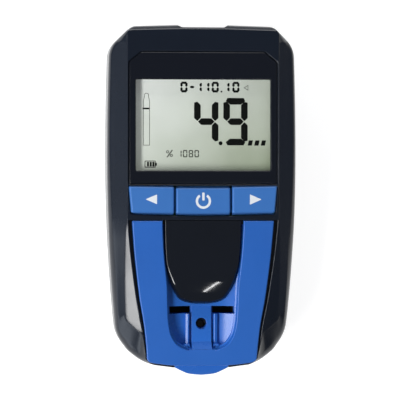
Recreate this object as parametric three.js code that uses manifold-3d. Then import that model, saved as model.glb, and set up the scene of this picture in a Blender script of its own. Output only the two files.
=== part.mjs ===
// Handheld glucose analyzer lying on its back, in millimetres.
// +Z points up through the display, +Y to the display end, +X to the right.
// Origin: centre of the outline, on the surface that the rubber feet stand on.

import * as THREE from "three";
import { mergeVertices } from "three/addons/utils/BufferGeometryUtils.js";
import Module from "manifold-3d";

const wasm = await Module();
wasm.setup();

// Fits
const gap = 0.3; // between pieces that sit on or in each other
const wall = 2.0; // moulded shell wall
const reach = 20; // how far a cutter runs past what it cuts
const past = 1; // how far a cutter starts outside a face that it opens
const sunk = 0.5; // how far a joined form reaches into what carries it

// Outline of the case
const halfWidth = 39.0;
const widestY = 18;
const upperBow = 0.0004; // draw-in per square millimetre from the widest point, above it and below it
const lowerBow = 0.0007;
const topRound = 2.2; // roundings of the outline's corners, from the top end down
const cornerRound = 4.0;
const lowRound = 4.4;
const bottomRound = 4.8;
const topEnd = 71.75;
const topFall = 0.6; // how much the top edge drops towards its corners
const topInset = 9.8; // from the widest outline in to the ends of the top edge
const topCut = 9.2; // height of the cut upper corners
const bottomEnd = -69.8;
const bottomFall = 2.5; // how much the bottom edge rises towards its corners
const bottomInset = 15.6; // from the widest outline in to the ends of the bottom edge
const bottomCut = 12.2; // height of the cut lower corners
const bottomBulge = 0.8; // how far the cut lower corners bulge out
const notchHalf = 8.7; // shallow notch in the top end
const notchDepth = 1.25;
const notchBelow = 8.5; // how far the notch reaches into the rear shell
const notchSlope = 30; // how much wider the notch gets over the cutter's reach

// Heights of the two shells
const footDrop = 0.8;
const rearDepth = 14.2;
const frontDepth = 17.2;
const shoulderDrop = 4.0; // from the face down to the outer edge of the wide sloped shoulder
const narrowDrop = 1.7; // the same where the shoulder is narrow, at the upper and lower ends
const edgeDrop = 3.0; // height of the rounded edge under the shoulder
const backInset = 5.0; // how far the flat back lies inside the outline

// Raised face and its crease
const shoulderWide = 8.1; // from the widest outline in to the edge of the face
const shoulderEnd = 2.0; // from the top end down to the edge of the face
const faceRound = 2.4;
const creaseWidth = 0.4;
const creaseDrop = 0.5;
const facetSwell = 1.0; // how far the crease bulges out beside the blue frame
const facetDrop = 1.1; // how much the facet beside the blue frame slopes down
const facetEnd = -49.4;
const facetRun = 5.0; // length over which the facet closes up under its end
const facetRound = 1.6;
const lowEdge = 1.6; // from the bottom end up to the edge of the lower face

// Lower deck, a plane that tilts down towards the bottom end
const hingeY = -7.0;
const deckTiltDegrees = 5;
const skinRamp = 2.2;

// Display
const viewSide = 3.35; // from the edge of the face in to the view
const viewHeight = 37.1;
const viewY = 30.6;
const bezelThick = 1.4;
const bezelProud = 0.2;
const bezelTop = 60.3;
const bezelBottom = 6.7;
const bezelCutWide = 5.1; // width and height of the bezel's cut upper corners
const bezelCutTall = 4.1;
const bezelBevel = 0.5;
const windowThick = 1.8;
const windowBorder = 1.0;
const lcdThick = 2.6;
const lcdBorder = 2.8;
const zebraWidth = 2.2;
const zebraShort = 2.0; // from the side of the view in to the strips' ends
const holderRail = 1.6;

// Keys
const keyHalf = 5.4; // half of a key's height on the face
const keyGap = 1.1;
const powerHalf = 10.95;
const keyRowEdge = 0.7; // from the edge of the face in to the outer keys
const keyTaper = 0.9; // how far the outer keys' outer edges lean in
const keyBow = 0.7; // how far the middle key sags below the outer ones
const keyClear = 0.4;
const keyProud = 0.9;
const keyBevel = 0.45;
const keyFlange = 0.8;
const keyFlangeThick = 1.1;
const keyTravel = 0.9;
const stemRadius = 2.0;
const switchSize = 6.0;
const switchHeight = 3.5;
const plungerRadius = 1.6;
const plungerStick = 1.6;
const wellFloor = 0.6; // under the bore that the plunger runs in

// Blue frame and test recess, in the plane of the lower deck
const frameSide = 1.8; // from the edge of the face in to the frame
const armWidth = 12.4; // width of the frame's arms at their upper ends
const frameTop = -8.5;
const frameBottom = -67.4;
const frameThick = 2.3;
const frameProud = 0.4;
const frameBevel = 0.35;
const frameCorner = 1.2; // cut lower corners of the frame
const grooveWidth = 1.6;
const grooveEnd = 0.5;
const recessBottom = -61.9;
const trayTop = -10.7; // the tray ends here, under the root of the tongue
const bowlDepth = 7.0;
const bowlDraft = 2.4;
const trayWall = 1.4;
const trayFloor = 1.6;
const trayFlange = 3.2;
const trayFlangeThick = 1.5;
const deckLedge = 1.4;
const platformHalf = 4.1;
const platformHeight = 1.6;
const platformTop = -43.2;
const rampStart = -58.6; // the platform rises from here to the lower end of the recess
const railInner = 4.9;
const railWidth = 1.5;
const railHeight = 2.3;
const railTop = -47.0;
const railBottom = -59.6;
const railFootHeight = 3.2;
const railFootLength = 2.3;
const shelfHeight = 3.2; // shelf between the slots and the tongue
const shelfTop = -35.0;
const slotInner = 4.5;
const slotOuter = 13.4;
const slotTop = -43.9;
const slotBottom = -47.1;
const testHoleY = -51.1;
const testHoleRadius = 2.2;
const lipRoot = 11.0;
const lipTip = 4.6;
const lipEnd = -72.1;
const lipThick = 3.8;
const lipLean = 3.0; // length of the lip's slanted corners
const lipBevel = 0.3;

// Glossy tongue over the upper part of the recess
const tongueSide = 0.9; // side gap between the tongue and the frame
const tongueBottom = -42.7;
const tongueWall = 1.6;
const tongueDraft = 2.4;
const tongueRound = 1.5;
const tongueNose = 2.2;
const coverStep = 0.2; // steps between the tongue's root and its rim
const noseShare = 0.62; // the nose starts to roll down at this share of the tongue's length

// Circuit board and what stands on it
const boardThick = 1.6;
const boardSide = 8.0; // from the widest outline in to the board
const boardBottom = -8.0;
const boardBossSpace = 1.8; // between the board's neck and the upper bosses
const boardNeckY = 53.0;
const boardPost = 3.0;
const boardPostRadius = 2.2;
const postInset = 3.5; // from the edge of what a post carries in to its middle
const chipSize = 9.0;
const smallChip = 5.0;
const chipHeight = 1.4;
const processorX = -6;
const memoryX = 10;
const buzzerRadius = 6.0;
const buzzerHeight = 2.6;
const buzzerX = -15;
const portHalf = 3.9;
const portHeight = 3.2;
const portLength = 7.4;
const portBack = 0.6; // how far the connector's mouth lies inside the notch
const portWall = 0.5;
const portBlade = 1.3; // from the connector's outside in to its contact blade

// Optics under the slots
const opticsSide = 0.8; // from the recess's side in to the block
const opticsFront = -53.5;
const opticsRear = -37.5;
const opticsBase = 9.0;
const ledRadius = 1.5;
const ledLength = 4.0;
const ledBoreLength = 20.0;
const detectorWidth = 5.0;
const detectorHeight = 3.0;
const detectorDepth = 2.0;
const lightHeight = 15.0;
const sensorRadius = 1.4;
const sensorBoardThick = 1.2;
const sensorBelow = 1.0; // from the top of the block down to the sensor
const lightSpace = 0.8; // between the slots' light path and the lamps and detectors
const opticsFloor = 2.0;

// Battery bay
const cellRadius = 5.25;
const cellLength = 44.5;
const cellNub = 1.0;
const cellNubRadius = 1.9;
const cellPitch = 11.2;
const cellCount = 4;
const contactThick = 0.5;
const contactHalf = 4.4;
const springLength = 5.6;
const springRadius = 2.9;
const springWire = 0.35;
const springTurns = 4;
const bayBottom = -6.0;
const bayWall = 1.4;
const doorThick = 1.8;
const doorMargin = 2.1; // how far the door lies over the bay's walls
const doorClear = 0.4;
const doorRib = 0.6;
const doorBevel = 0.3;
const doorRound = 2.5;
const seatThick = 1.5;
const tabOffset = 14.0;
const tabHalf = 3.5;
const tabReach = 2.4;
const tabThick = 1.1;
const tabLift = 0.1; // between the seat's plane and the tabs
const tabRoot = 1.8; // how far the tabs run over the door's edge
const tabSwing = 2.5; // space beyond and above the tabs, in which they turn
const tabRoom = 3.5;
const ribWidth = 1.2;
const latchHalf = 6.0;
const latchLength = 9.0;
const latchSlit = 0.7;
const thumbLength = 4.5; // thumb recess in the shell beside the latch
const thumbFlare = 1.0;
const thumbDepth = 1.1;

// Feet and screws
const footRadius = 4.5;
const footSink = 0.7;
const footUpperInset = 16.5; // insets are taken from the widest outline
const footUpperY = 61.0;
const footLowerInset = 18.0;
const footLowerY = -52.5;
const screwUpperInset = 9.7;
const screwUpperY = 57.5;
const screwLowerInset = 10.6;
const screwLowerY = -36.0;
const footTaper = 0.3;
const headRadius = 2.4;
const headHeight = 1.5;
const headEdge = 0.3;
const driveRadius = 0.9; // round socket in the screw heads
const driveDepth = 0.6;
const screwPoint = 1.2; // length of the screws' pointed ends
const shankRadius = 1.2;
const shankLength = 9.5;
const bossRadius = 3.0;
const seatBossRadius = 4.0;
const headClear = 0.5; // around the screw heads
const headDepth = 2.2;
const seatBossHeight = 4.2;
const screwTipSpace = 1.0;

// Lap between the shells, measured from the parting plane
const rimWidth = 1.1;
const rimBelow = 2.5;
const rimAbove = 1.6;
const collarTop = 0.6;

// Levels worked out from the sizes above
const deckAngle = THREE.MathUtils.degToRad(deckTiltDegrees);
const topHalf = halfWidth - topInset;
const bottomHalf = halfWidth - bottomInset;
const faceHalf = halfWidth - shoulderWide;
const viewWidth = 2 * (faceHalf - viewSide);
const keyRowHalf = faceHalf - keyRowEdge;
const frameHalf = faceHalf - frameSide;
const recessHalf = frameHalf - armWidth;
const tongueHalf = recessHalf - tongueSide;
const opticsHalf = recessHalf - opticsSide;
const boardHalf = halfWidth - boardSide;
const boardNeck = halfWidth - screwUpperInset - bossRadius - boardBossSpace;
const displayTop = viewY + viewHeight / 2 + lcdBorder;
const buzzerY = displayTop + 2 * gap + buzzerRadius;
const boardTop = buzzerY + buzzerRadius + 2 * gap;
const backZ = footDrop;
const partZ = backZ + rearDepth;
const frontZ = partZ + gap;
const faceZ = frontZ + frontDepth;
const innerFaceZ = faceZ - wall;
const pocketDepth = frameThick - frameProud + gap;
const deckSkin = pocketDepth + trayFlangeThick + gap + deckLedge;
const doorTopZ = backZ + doorThick;
const seatZ = doorTopZ + gap;
const cellZ = seatZ + doorRib + cellRadius;
const bayTopZ = cellZ + cellRadius + gap;
const bayRoofZ = bayTopZ + bayWall;
const boardZ = bayRoofZ + boardPost + gap;
const boardTopZ = boardZ + boardThick;
const portZ = boardZ - gap - portHeight;
const onBoardZ = boardTopZ + gap;
const bezelBackZ = faceZ + bezelProud - bezelThick;
const windowTopZ = bezelBackZ - gap;
const windowBackZ = windowTopZ - windowThick;
const lcdTopZ = windowBackZ - gap;
const lcdBackZ = lcdTopZ - lcdThick;
const bayLength = cellLength + springLength + 2 * contactThick + 6 * gap;
const bayTop = bayBottom + bayLength;
const bayHalf = ((cellCount - 1) * cellPitch) / 2 + cellRadius + gap;

const colours = {
  caseDark: 0x1d232e,
  rearDark: 0x1a1e27,
  blue: 0x2e68be,
  keyBlue: 0x4278c3,
  gloss: 0x1a1d25,
  glass: 0xc9d2cf,
  display: 0xc6cbbd,
  grey: 0x8d9094,
  pale: 0xd9d9d2,
  board: 0x1f6a43,
  chip: 0x202124,
  steel: 0xb9bcc0,
  brass: 0xc9a75a,
  rubber: 0x2b2c2e,
  cell: 0x5d666f,
};

// Materials and small helpers

function finish(color, roughness = 0.5, metalness = 0) {
  return new THREE.MeshStandardMaterial({ color, roughness, metalness });
}

function solid(geometry) {
  const bare = geometry.clone();
  bare.deleteAttribute("normal");
  bare.deleteAttribute("uv");
  const merged = mergeVertices(bare, 1e-4);
  return new wasm.Manifold(
    new wasm.Mesh({
      numProp: 3,
      vertProperties: new Float32Array(merged.attributes.position.array),
      triVerts: new Uint32Array(merged.index.array),
    }),
  );
}

function geometryOf(body) {
  const mesh = body.getMesh();
  const geometry = new THREE.BufferGeometry();
  geometry.setAttribute("position", new THREE.BufferAttribute(new Float32Array(mesh.vertProperties), 3));
  geometry.setIndex(new THREE.BufferAttribute(new Uint32Array(mesh.triVerts), 1));
  geometry.computeVertexNormals();
  return geometry;
}

function joined(first, ...others) {
  return others.reduce((sum, next) => sum.add(next), first);
}

function cutBy(body, ...cutters) {
  return cutters.reduce((rest, cutter) => rest.subtract(cutter), body);
}

const analyzer = new THREE.Group();

function place(name, shape, material, parent = analyzer) {
  const geometry = shape.isBufferGeometry ? shape : geometryOf(shape);
  const mesh = new THREE.Mesh(geometry, material);
  mesh.name = name;
  parent.add(mesh);
  return mesh;
}

function box(x0, x1, y0, y1, z0, z1) {
  const geometry = new THREE.BoxGeometry(x1 - x0, y1 - y0, z1 - z0);
  geometry.translate((x0 + x1) / 2, (y0 + y1) / 2, (z0 + z1) / 2);
  return solid(geometry);
}

function post(x, y, radius, z0, z1, sides = 20) {
  const geometry = new THREE.CylinderGeometry(radius, radius, z1 - z0, sides);
  geometry.rotateX(Math.PI / 2);
  geometry.translate(x, y, (z0 + z1) / 2);
  return solid(geometry);
}

// A flat plate with an outline in X and Y, and an optional bevel on its rims
function plate(points, z0, z1, bevel = 0) {
  const shape = new THREE.Shape(points.map(([x, y]) => new THREE.Vector2(x, y)));
  const geometry = new THREE.ExtrudeGeometry(shape, {
    depth: z1 - z0 - 2 * bevel,
    bevelEnabled: bevel > 0,
    bevelThickness: bevel,
    bevelSize: bevel,
    bevelOffset: -bevel,
    bevelSegments: 1,
  });
  geometry.translate(0, 0, z0 + bevel);
  return solid(geometry);
}

// Outlines are right halves, listed from the upper end to the lower end
function mirrored(half) {
  const left = half.map(([x, y]) => [-x, y]).reverse();
  return [...half, ...left].reverse();
}

// Moves a right half inwards, or outwards for a negative distance
function inset(half, distance) {
  const ring = (index) => {
    if (index < 0) {
      return [-half[0][0], half[0][1]];
    }
    if (index >= half.length) {
      return [-half[half.length - 1][0], half[half.length - 1][1]];
    }
    return half[index];
  };
  const normal = (from, to) => {
    const along = new THREE.Vector2(to[0] - from[0], to[1] - from[1]).normalize();
    return new THREE.Vector2(along.y, -along.x);
  };
  return half.map(([x, y], index) => {
    const before = normal(ring(index - 1), ring(index));
    const after = normal(ring(index), ring(index + 1));
    const middle = before.clone().add(after).normalize();
    const mitre = distance / Math.max(0.5, middle.dot(before));
    return [x + middle.x * mitre, y + middle.y * mitre];
  });
}

// Points of a rounded corner between two straight edges
function corner(from, tip, to, radius, steps = 2) {
  const start = new THREE.Vector2(from[0] - tip[0], from[1] - tip[1]).normalize().multiplyScalar(radius);
  const end = new THREE.Vector2(to[0] - tip[0], to[1] - tip[1]).normalize().multiplyScalar(radius);
  const points = [];
  for (let step = 0; step <= steps; step += 1) {
    const t = step / steps;
    const a = (1 - t) ** 2;
    const b = t ** 2;
    points.push([tip[0] + a * start.x + b * end.x, tip[1] + a * start.y + b * end.y]);
  }
  return points;
}

// A closed body through half rings, each a list of [x, y, z], from the lowest ring to the highest
function loft(rings) {
  const count = rings[0].length;
  const around = 2 * count;
  const positions = [];
  for (const ring of rings) {
    for (const [x, y, z] of ring) {
      positions.push(x, y, z);
    }
    for (const [x, y, z] of [...ring].reverse()) {
      positions.push(-x, y, z);
    }
  }
  const index = [];
  for (let level = 0; level + 1 < rings.length; level += 1) {
    for (let turn = 0; turn < around; turn += 1) {
      const next = (turn + 1) % around;
      const a = level * around + turn;
      const b = a + around;
      const c = (level + 1) * around + next;
      const d = level * around + next;
      index.push(a, b, c, a, c, d);
    }
  }
  const top = (rings.length - 1) * around;
  for (let step = 0; step + 1 < count; step += 1) {
    const right = step;
    const left = around - 1 - step;
    index.push(right, right + 1, left - 1, right, left - 1, left);
    index.push(top + left, top + left - 1, top + right + 1, top + left, top + right + 1, top + right);
  }
  const geometry = new THREE.BufferGeometry();
  geometry.setAttribute("position", new THREE.Float32BufferAttribute(positions, 3));
  geometry.setIndex(index);
  return solid(geometry);
}

const at = (half, height) =>
  half.map(([x, y]) => [x, y, typeof height === "function" ? height(x, y) : height]);

// The lower deck has its own frame: its origin is on the hinge line and its Z is square to the deck
const deckMatrix = new THREE.Matrix4()
  .makeTranslation(0, hingeY, faceZ)
  .multiply(new THREE.Matrix4().makeRotationX(deckAngle));
const deck = new THREE.Group();
deck.applyMatrix4(deckMatrix);
analyzer.add(deck);

const alongDeck = (y) => (y - hingeY) / Math.cos(deckAngle);
const deckHalf = (half) => half.map(([x, y]) => [x, alongDeck(y)]);

function inCase(body) {
  return body.transform([...deckMatrix.elements]);
}

const faceAt = (y) => faceZ + Math.min(0, y - hingeY) * Math.tan(deckAngle);

function skinAt(y) {
  const share = THREE.MathUtils.clamp((hingeY - y) / skinRamp, 0, 1);
  return faceAt(y) - THREE.MathUtils.lerp(wall, deckSkin, share);
}

// Outline of the blue frame: half width as a share, at shares of its length
const frameShape = [
  [0, 1],
  [0.23, 0.963],
  [0.42, 0.919],
  [0.56, 0.881],
  [0.72, 0.825],
  [0.85, 0.795],
  [0.95, 0.777],
];
const recessShape = [
  [0, 1],
  [0.25, 0.957],
  [0.51, 0.872],
  [0.65, 0.858],
  [0.8, 0.825],
  [0.89, 0.75],
  [0.955, 0.6],
  [0.99, 0.38],
  [1, 0.14],
];
const tongueShape = [
  [0, 1],
  [0.22, 0.99],
  [0.42, 0.965],
  [0.6, 0.915],
  [0.76, 0.815],
  [0.88, 0.68],
  [0.94, 0.585],
  [0.98, 0.41],
  [1, 0.15],
];

function shaped(shape, half, top, bottom) {
  return shape.map(([along, share]) => [share * half, top + along * (bottom - top)]);
}

function frameHalfAt(y) {
  const along = THREE.MathUtils.clamp((y - frameTop) / (frameBottom - frameTop), 0, 1);
  const next = Math.max(1, frameShape.findIndex(([share]) => share >= along));
  const last = along > frameShape[frameShape.length - 1][0] ? frameShape.length - 1 : next;
  const [fromAlong, fromHalf] = frameShape[last - 1];
  const [toAlong, toHalf] = frameShape[last];
  const share = Math.min(1, (along - fromAlong) / (toAlong - fromAlong));
  return frameHalf * THREE.MathUtils.lerp(fromHalf, toHalf, share);
}

const grooveAt = (y) =>
  THREE.MathUtils.mapLinear(y, frameTop, frameBottom, grooveWidth, grooveEnd);

// Case outline, crease of the shoulder and edge of the face, station by station down the right side
const sideAt = (y) => halfWidth - (y > widestY ? upperBow : lowerBow) * (y - widestY) ** 2;

function caseStations() {
  const cutY = topEnd - topCut;
  const lowY = bottomEnd + bottomFall + bottomCut;
  const lowCorner = [bottomHalf, bottomEnd + bottomFall];
  const bulge = [(sideAt(lowY) + bottomHalf) / 2 + bottomBulge, (lowY + lowCorner[1]) / 2 - bottomBulge];
  const upperYs = [0.26, 0.5, 0.76].map((share) => THREE.MathUtils.lerp(cutY, hingeY, share));
  const lowerYs = [0, 0.32, 0.59, 0.79, 0.92].map((share) =>
    THREE.MathUtils.lerp(hingeY - skinRamp, facetEnd, share),
  );
  const sideYs = [...upperYs, hingeY, ...lowerYs];
  const firstY = upperYs[0];
  const lastY = lowerYs[lowerYs.length - 1];
  const creaseAt = (y) => {
    const share = THREE.MathUtils.clamp((hingeY - y) / (hingeY - 1.25 * facetEnd), 0, 1);
    return faceHalf + creaseWidth + facetSwell * Math.sin(Math.PI * share);
  };
  const landAt = (y) =>
    y >= hingeY ? faceHalf : Math.min(faceHalf, frameHalfAt(y) + grooveAt(y) + creaseWidth);
  const facetLow = facetEnd - facetRun;
  const facetYs = [-0.16, 0.12, 0.4, 1].map((share) => facetEnd - share * facetRun);
  const outer = [
    [notchHalf, topEnd],
    ...corner([notchHalf, topEnd], [topHalf, topEnd - topFall], [sideAt(cutY), cutY], topRound),
    ...corner([topHalf, topEnd - topFall], [sideAt(cutY), cutY], [sideAt(firstY), firstY], cornerRound),
    ...sideYs.map((y) => [sideAt(y), y]),
    ...corner([sideAt(lastY), lastY], [sideAt(lowY), lowY], bulge, lowRound),
    bulge,
    ...corner(bulge, lowCorner, [lipRoot / 2, bottomEnd], bottomRound),
    [lipRoot / 2, bottomEnd],
  ];
  const faceTop = topEnd - shoulderEnd;
  const upperFace = (rim) => [
    [notchHalf, faceTop + rim],
    ...corner(
      [notchHalf, faceTop + rim],
      [faceHalf + rim, faceTop - topFall + rim],
      [faceHalf + rim, cutY],
      faceRound,
    ),
    ...[0.5, 0, -0.5].map((share) => [faceHalf + rim, cutY + share * cornerRound]),
  ];
  const lowFace = (rim) => [
    [bottomHalf - 0.75 * lowEdge + rim, lowCorner[1] + 1.2 * lowEdge],
    [bottomHalf - 0.95 * lowEdge + rim, lowCorner[1] + 0.75 * lowEdge - rim],
    [bottomHalf - 1.5 * lowEdge + rim, lowCorner[1] + 0.45 * lowEdge - rim],
    [lipRoot / 2, bottomEnd + lowEdge - rim],
  ];
  const crease = [
    ...upperFace(creaseWidth),
    ...sideYs.map((y) => [creaseAt(y), y]),
    ...corner(
      [creaseAt(lastY), lastY],
      [creaseAt(facetEnd), facetEnd],
      [landAt(facetLow), facetLow],
      facetRound,
    ),
    [landAt(facetLow) + creaseWidth, facetLow - creaseWidth],
    ...lowFace(creaseWidth),
  ];
  const land = [
    ...upperFace(0),
    ...[...sideYs, ...facetYs].map((y) => [landAt(y), y]),
    ...lowFace(0),
  ];
  return { outer, crease, land };
}

const stations = caseStations();

function blended(share) {
  return stations.outer.map(([x, y], index) => {
    const [toX, toY] = stations.crease[index];
    return [THREE.MathUtils.lerp(x, toX, share), THREE.MathUtils.lerp(y, toY, share)];
  });
}

// Front shell

function frontOuter() {
  const { outer, crease, land } = stations;
  const drop = (index) => {
    const y = crease[index][1];
    const beside = THREE.MathUtils.smoothstep(hingeY - y, 0, 20);
    const low = THREE.MathUtils.smoothstep(y, facetEnd - 1.2 * facetRun, facetEnd);
    return faceAt(y) - creaseDrop - facetDrop * beside * low;
  };
  const shoulderAt = (index) => {
    const wide = Math.hypot(outer[index][0] - crease[index][0], outer[index][1] - crease[index][1]);
    const share = THREE.MathUtils.smoothstep(wide, shoulderEnd, shoulderWide - creaseWidth);
    return THREE.MathUtils.lerp(narrowDrop, shoulderDrop, share);
  };
  const below = (half, edgeShare) =>
    half.map(([x, y], index) => [x, y, faceAt(crease[index][1]) - shoulderAt(index) - edgeShare * edgeDrop]);
  return loft([
    at(outer, frontZ),
    below(blended(0.05), 1),
    below(blended(0.15), 0.5),
    below(blended(0.26), 0.15),
    below(blended(0.42), -0.15),
    crease.map(([x, y], index) => [x, y, drop(index)]),
    land.map(([x, y]) => [x, y, faceAt(y)]),
  ]);
}

function frontInner() {
  const { outer, crease } = stations;
  const low = (half, depth) =>
    half.map(([x, y], index) => {
      const faceHere = faceAt(crease[index][1]);
      return [x, y, Math.min(faceHere - depth, skinAt(crease[index][1]) - 0.2 * wall)];
    });
  return loft([
    at(inset(outer, wall), frontZ - past),
    low(inset(blended(0.05), wall), shoulderDrop + edgeDrop + 0.15 * wall),
    low(inset(blended(0.2), wall), shoulderDrop + 0.5 * edgeDrop + 0.35 * wall),
    low(inset(blended(0.42), 0.9 * wall), shoulderDrop + 0.6 * wall),
    at(inset(crease, 0.6 * wall), (x, y) => skinAt(y)),
  ]);
}

// The notch starts in the rear shell's end and runs up through the front shell
function topNotch() {
  const edge = topEnd - notchDepth;
  return plate(
    [
      [-notchHalf, edge],
      [notchHalf, edge],
      [notchHalf + notchSlope, edge + reach],
      [-notchHalf - notchSlope, edge + reach],
    ],
    partZ - notchBelow,
    faceZ + reach,
  );
}

const recessOutline = shaped(recessShape, recessHalf, frameTop, recessBottom);
const trayOutline = [[recessHalf, trayTop], ...recessOutline.slice(1)];

// The tray's outline moved outwards on its sides and lower end, and by no more than its wall at its upper end
function aroundTray(distance, clearance = 0) {
  const limit = trayTop + trayWall + clearance;
  return deckHalf(inset(trayOutline, -(distance + clearance)).map(([x, y]) => [x, Math.min(y, limit)]));
}

const frameOutline = [
  ...shaped(frameShape, frameHalf, frameTop, frameBottom),
  [frameHalfAt(frameBottom) - frameCorner, frameBottom + 0.65 * frameCorner],
  [lipRoot / 2, frameBottom],
];

function pocketOutline() {
  const sides = shaped(frameShape, frameHalf, frameTop, frameBottom).map(([x, y]) => [x + grooveAt(y), y]);
  sides[0][1] += gap;
  const end = sides[sides.length - 1];
  return [...sides, [end[0], end[1] - reach]];
}

const bezelOutline = (rim) => {
  const half = faceHalf - creaseWidth - gap;
  return [
    [half - bezelCutWide + rim / 2, bezelTop + rim],
    [half + rim, bezelTop - bezelCutTall + rim / 2],
    [half + rim, bezelBottom - rim],
  ];
};

// Outlines of the three keys, corner by corner from the upper left one clockwise
const keyRow = (() => {
  const inner = powerHalf + keyGap;
  return {
    left: [
      [-keyRowHalf, keyHalf],
      [-inner, keyHalf - keyBow * 0.4],
      [-inner, -keyHalf - keyBow * 0.4],
      [-keyRowHalf + keyTaper, -keyHalf],
    ],
    power: [
      [-powerHalf, keyHalf - keyBow * 0.5],
      [powerHalf, keyHalf - keyBow * 0.5],
      [powerHalf, -keyHalf - keyBow * 0.5],
      [0, -keyHalf - keyBow * 0.75],
      [-powerHalf, -keyHalf - keyBow * 0.5],
    ],
    right: [
      [inner, keyHalf - keyBow * 0.4],
      [keyRowHalf, keyHalf],
      [keyRowHalf - keyTaper, -keyHalf],
      [inner, -keyHalf - keyBow * 0.4],
    ],
  };
})();
const keyNames = ["left", "power", "right"];
const keyCentre = (name) => {
  const side = (powerHalf + keyGap + keyRowHalf) / 2;
  return { left: -side, power: 0, right: side }[name];
};

function keyOpening() {
  const half = keyRowHalf + keyClear;
  const low = -keyHalf - keyClear;
  const outline = [
    [half, keyHalf + keyClear],
    [half - keyTaper, low],
    [powerHalf, low - keyBow],
  ];
  return plate(mirrored(outline), partZ, faceZ + reach);
}

// Four places, as pairs to the left and right: the upper pair first
function fourSpots(upperInset, upperY, lowerInset, lowerY) {
  return [
    [upperInset - halfWidth, upperY],
    [halfWidth - upperInset, upperY],
    [lowerInset - halfWidth, lowerY],
    [halfWidth - lowerInset, lowerY],
  ];
}

const screwSpots = fourSpots(screwUpperInset, screwUpperY, screwLowerInset, screwLowerY);
const footSpots = fourSpots(footUpperInset, footUpperY, footLowerInset, footLowerY);
const bossFootZ = backZ + seatBossHeight + gap;

function lipCutter() {
  const half = lipRoot + 2 * gap;
  const y = alongDeck(recessBottom);
  return inCase(box(-half, half, y - reach, y + past, -pocketDepth - lipThick - 2 * gap, reach));
}

function portCutter() {
  const half = portHalf + 2 * gap;
  return box(-half, half, topEnd - portLength, topEnd + reach, portZ - gap, portZ + portHeight + gap);
}

function frontHousing() {
  const bosses = screwSpots.map(([x, y]) =>
    post(x, y, bossRadius, bossFootZ, faceAt(y) - shoulderDrop + sunk),
  );
  const shell = cutBy(frontOuter(), frontInner());
  const inside = frontOuter();
  const below = loft([at(stations.outer, 0), at(stations.outer, frontZ)]);
  const posts = bosses.map((boss) => boss.intersect(joined(inside, below)));
  const withPosts = joined(shell, ...posts);
  const bores = screwSpots.map(([x, y]) =>
    post(x, y, shankRadius + gap, backZ, backZ + headDepth + shankLength + screwTipSpace, 16),
  );
  const viewHalf = viewWidth / 2 + windowBorder + gap;
  const viewTall = viewHeight / 2 + windowBorder + gap;
  const pocket = deckHalf(pocketOutline());
  return cutBy(
    withPosts,
    ...bores,
    plate(mirrored(bezelOutline(gap)), bezelBackZ - gap, faceZ + reach),
    box(-viewHalf, viewHalf, viewY - viewTall, viewY + viewTall, partZ, faceZ + reach),
    keyOpening(),
    inCase(plate(mirrored(pocket), -pocketDepth, reach)),
    inCase(plate(mirrored(aroundTray(trayFlange, gap)), -pocketDepth - trayFlangeThick - gap, reach)),
    inCase(plate(mirrored(aroundTray(trayWall, gap)), -2 * bowlDepth, reach)),
    lipCutter(),
    topNotch(),
    portCutter(),
  );
}

place("front_housing", frontHousing(), finish(colours.caseDark, 0.35));

// Rear shell with the battery bay

const doorHalf = bayHalf + doorMargin;
const doorBottom = bayBottom - doorMargin;
const doorTop = bayTop + doorMargin;

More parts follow.
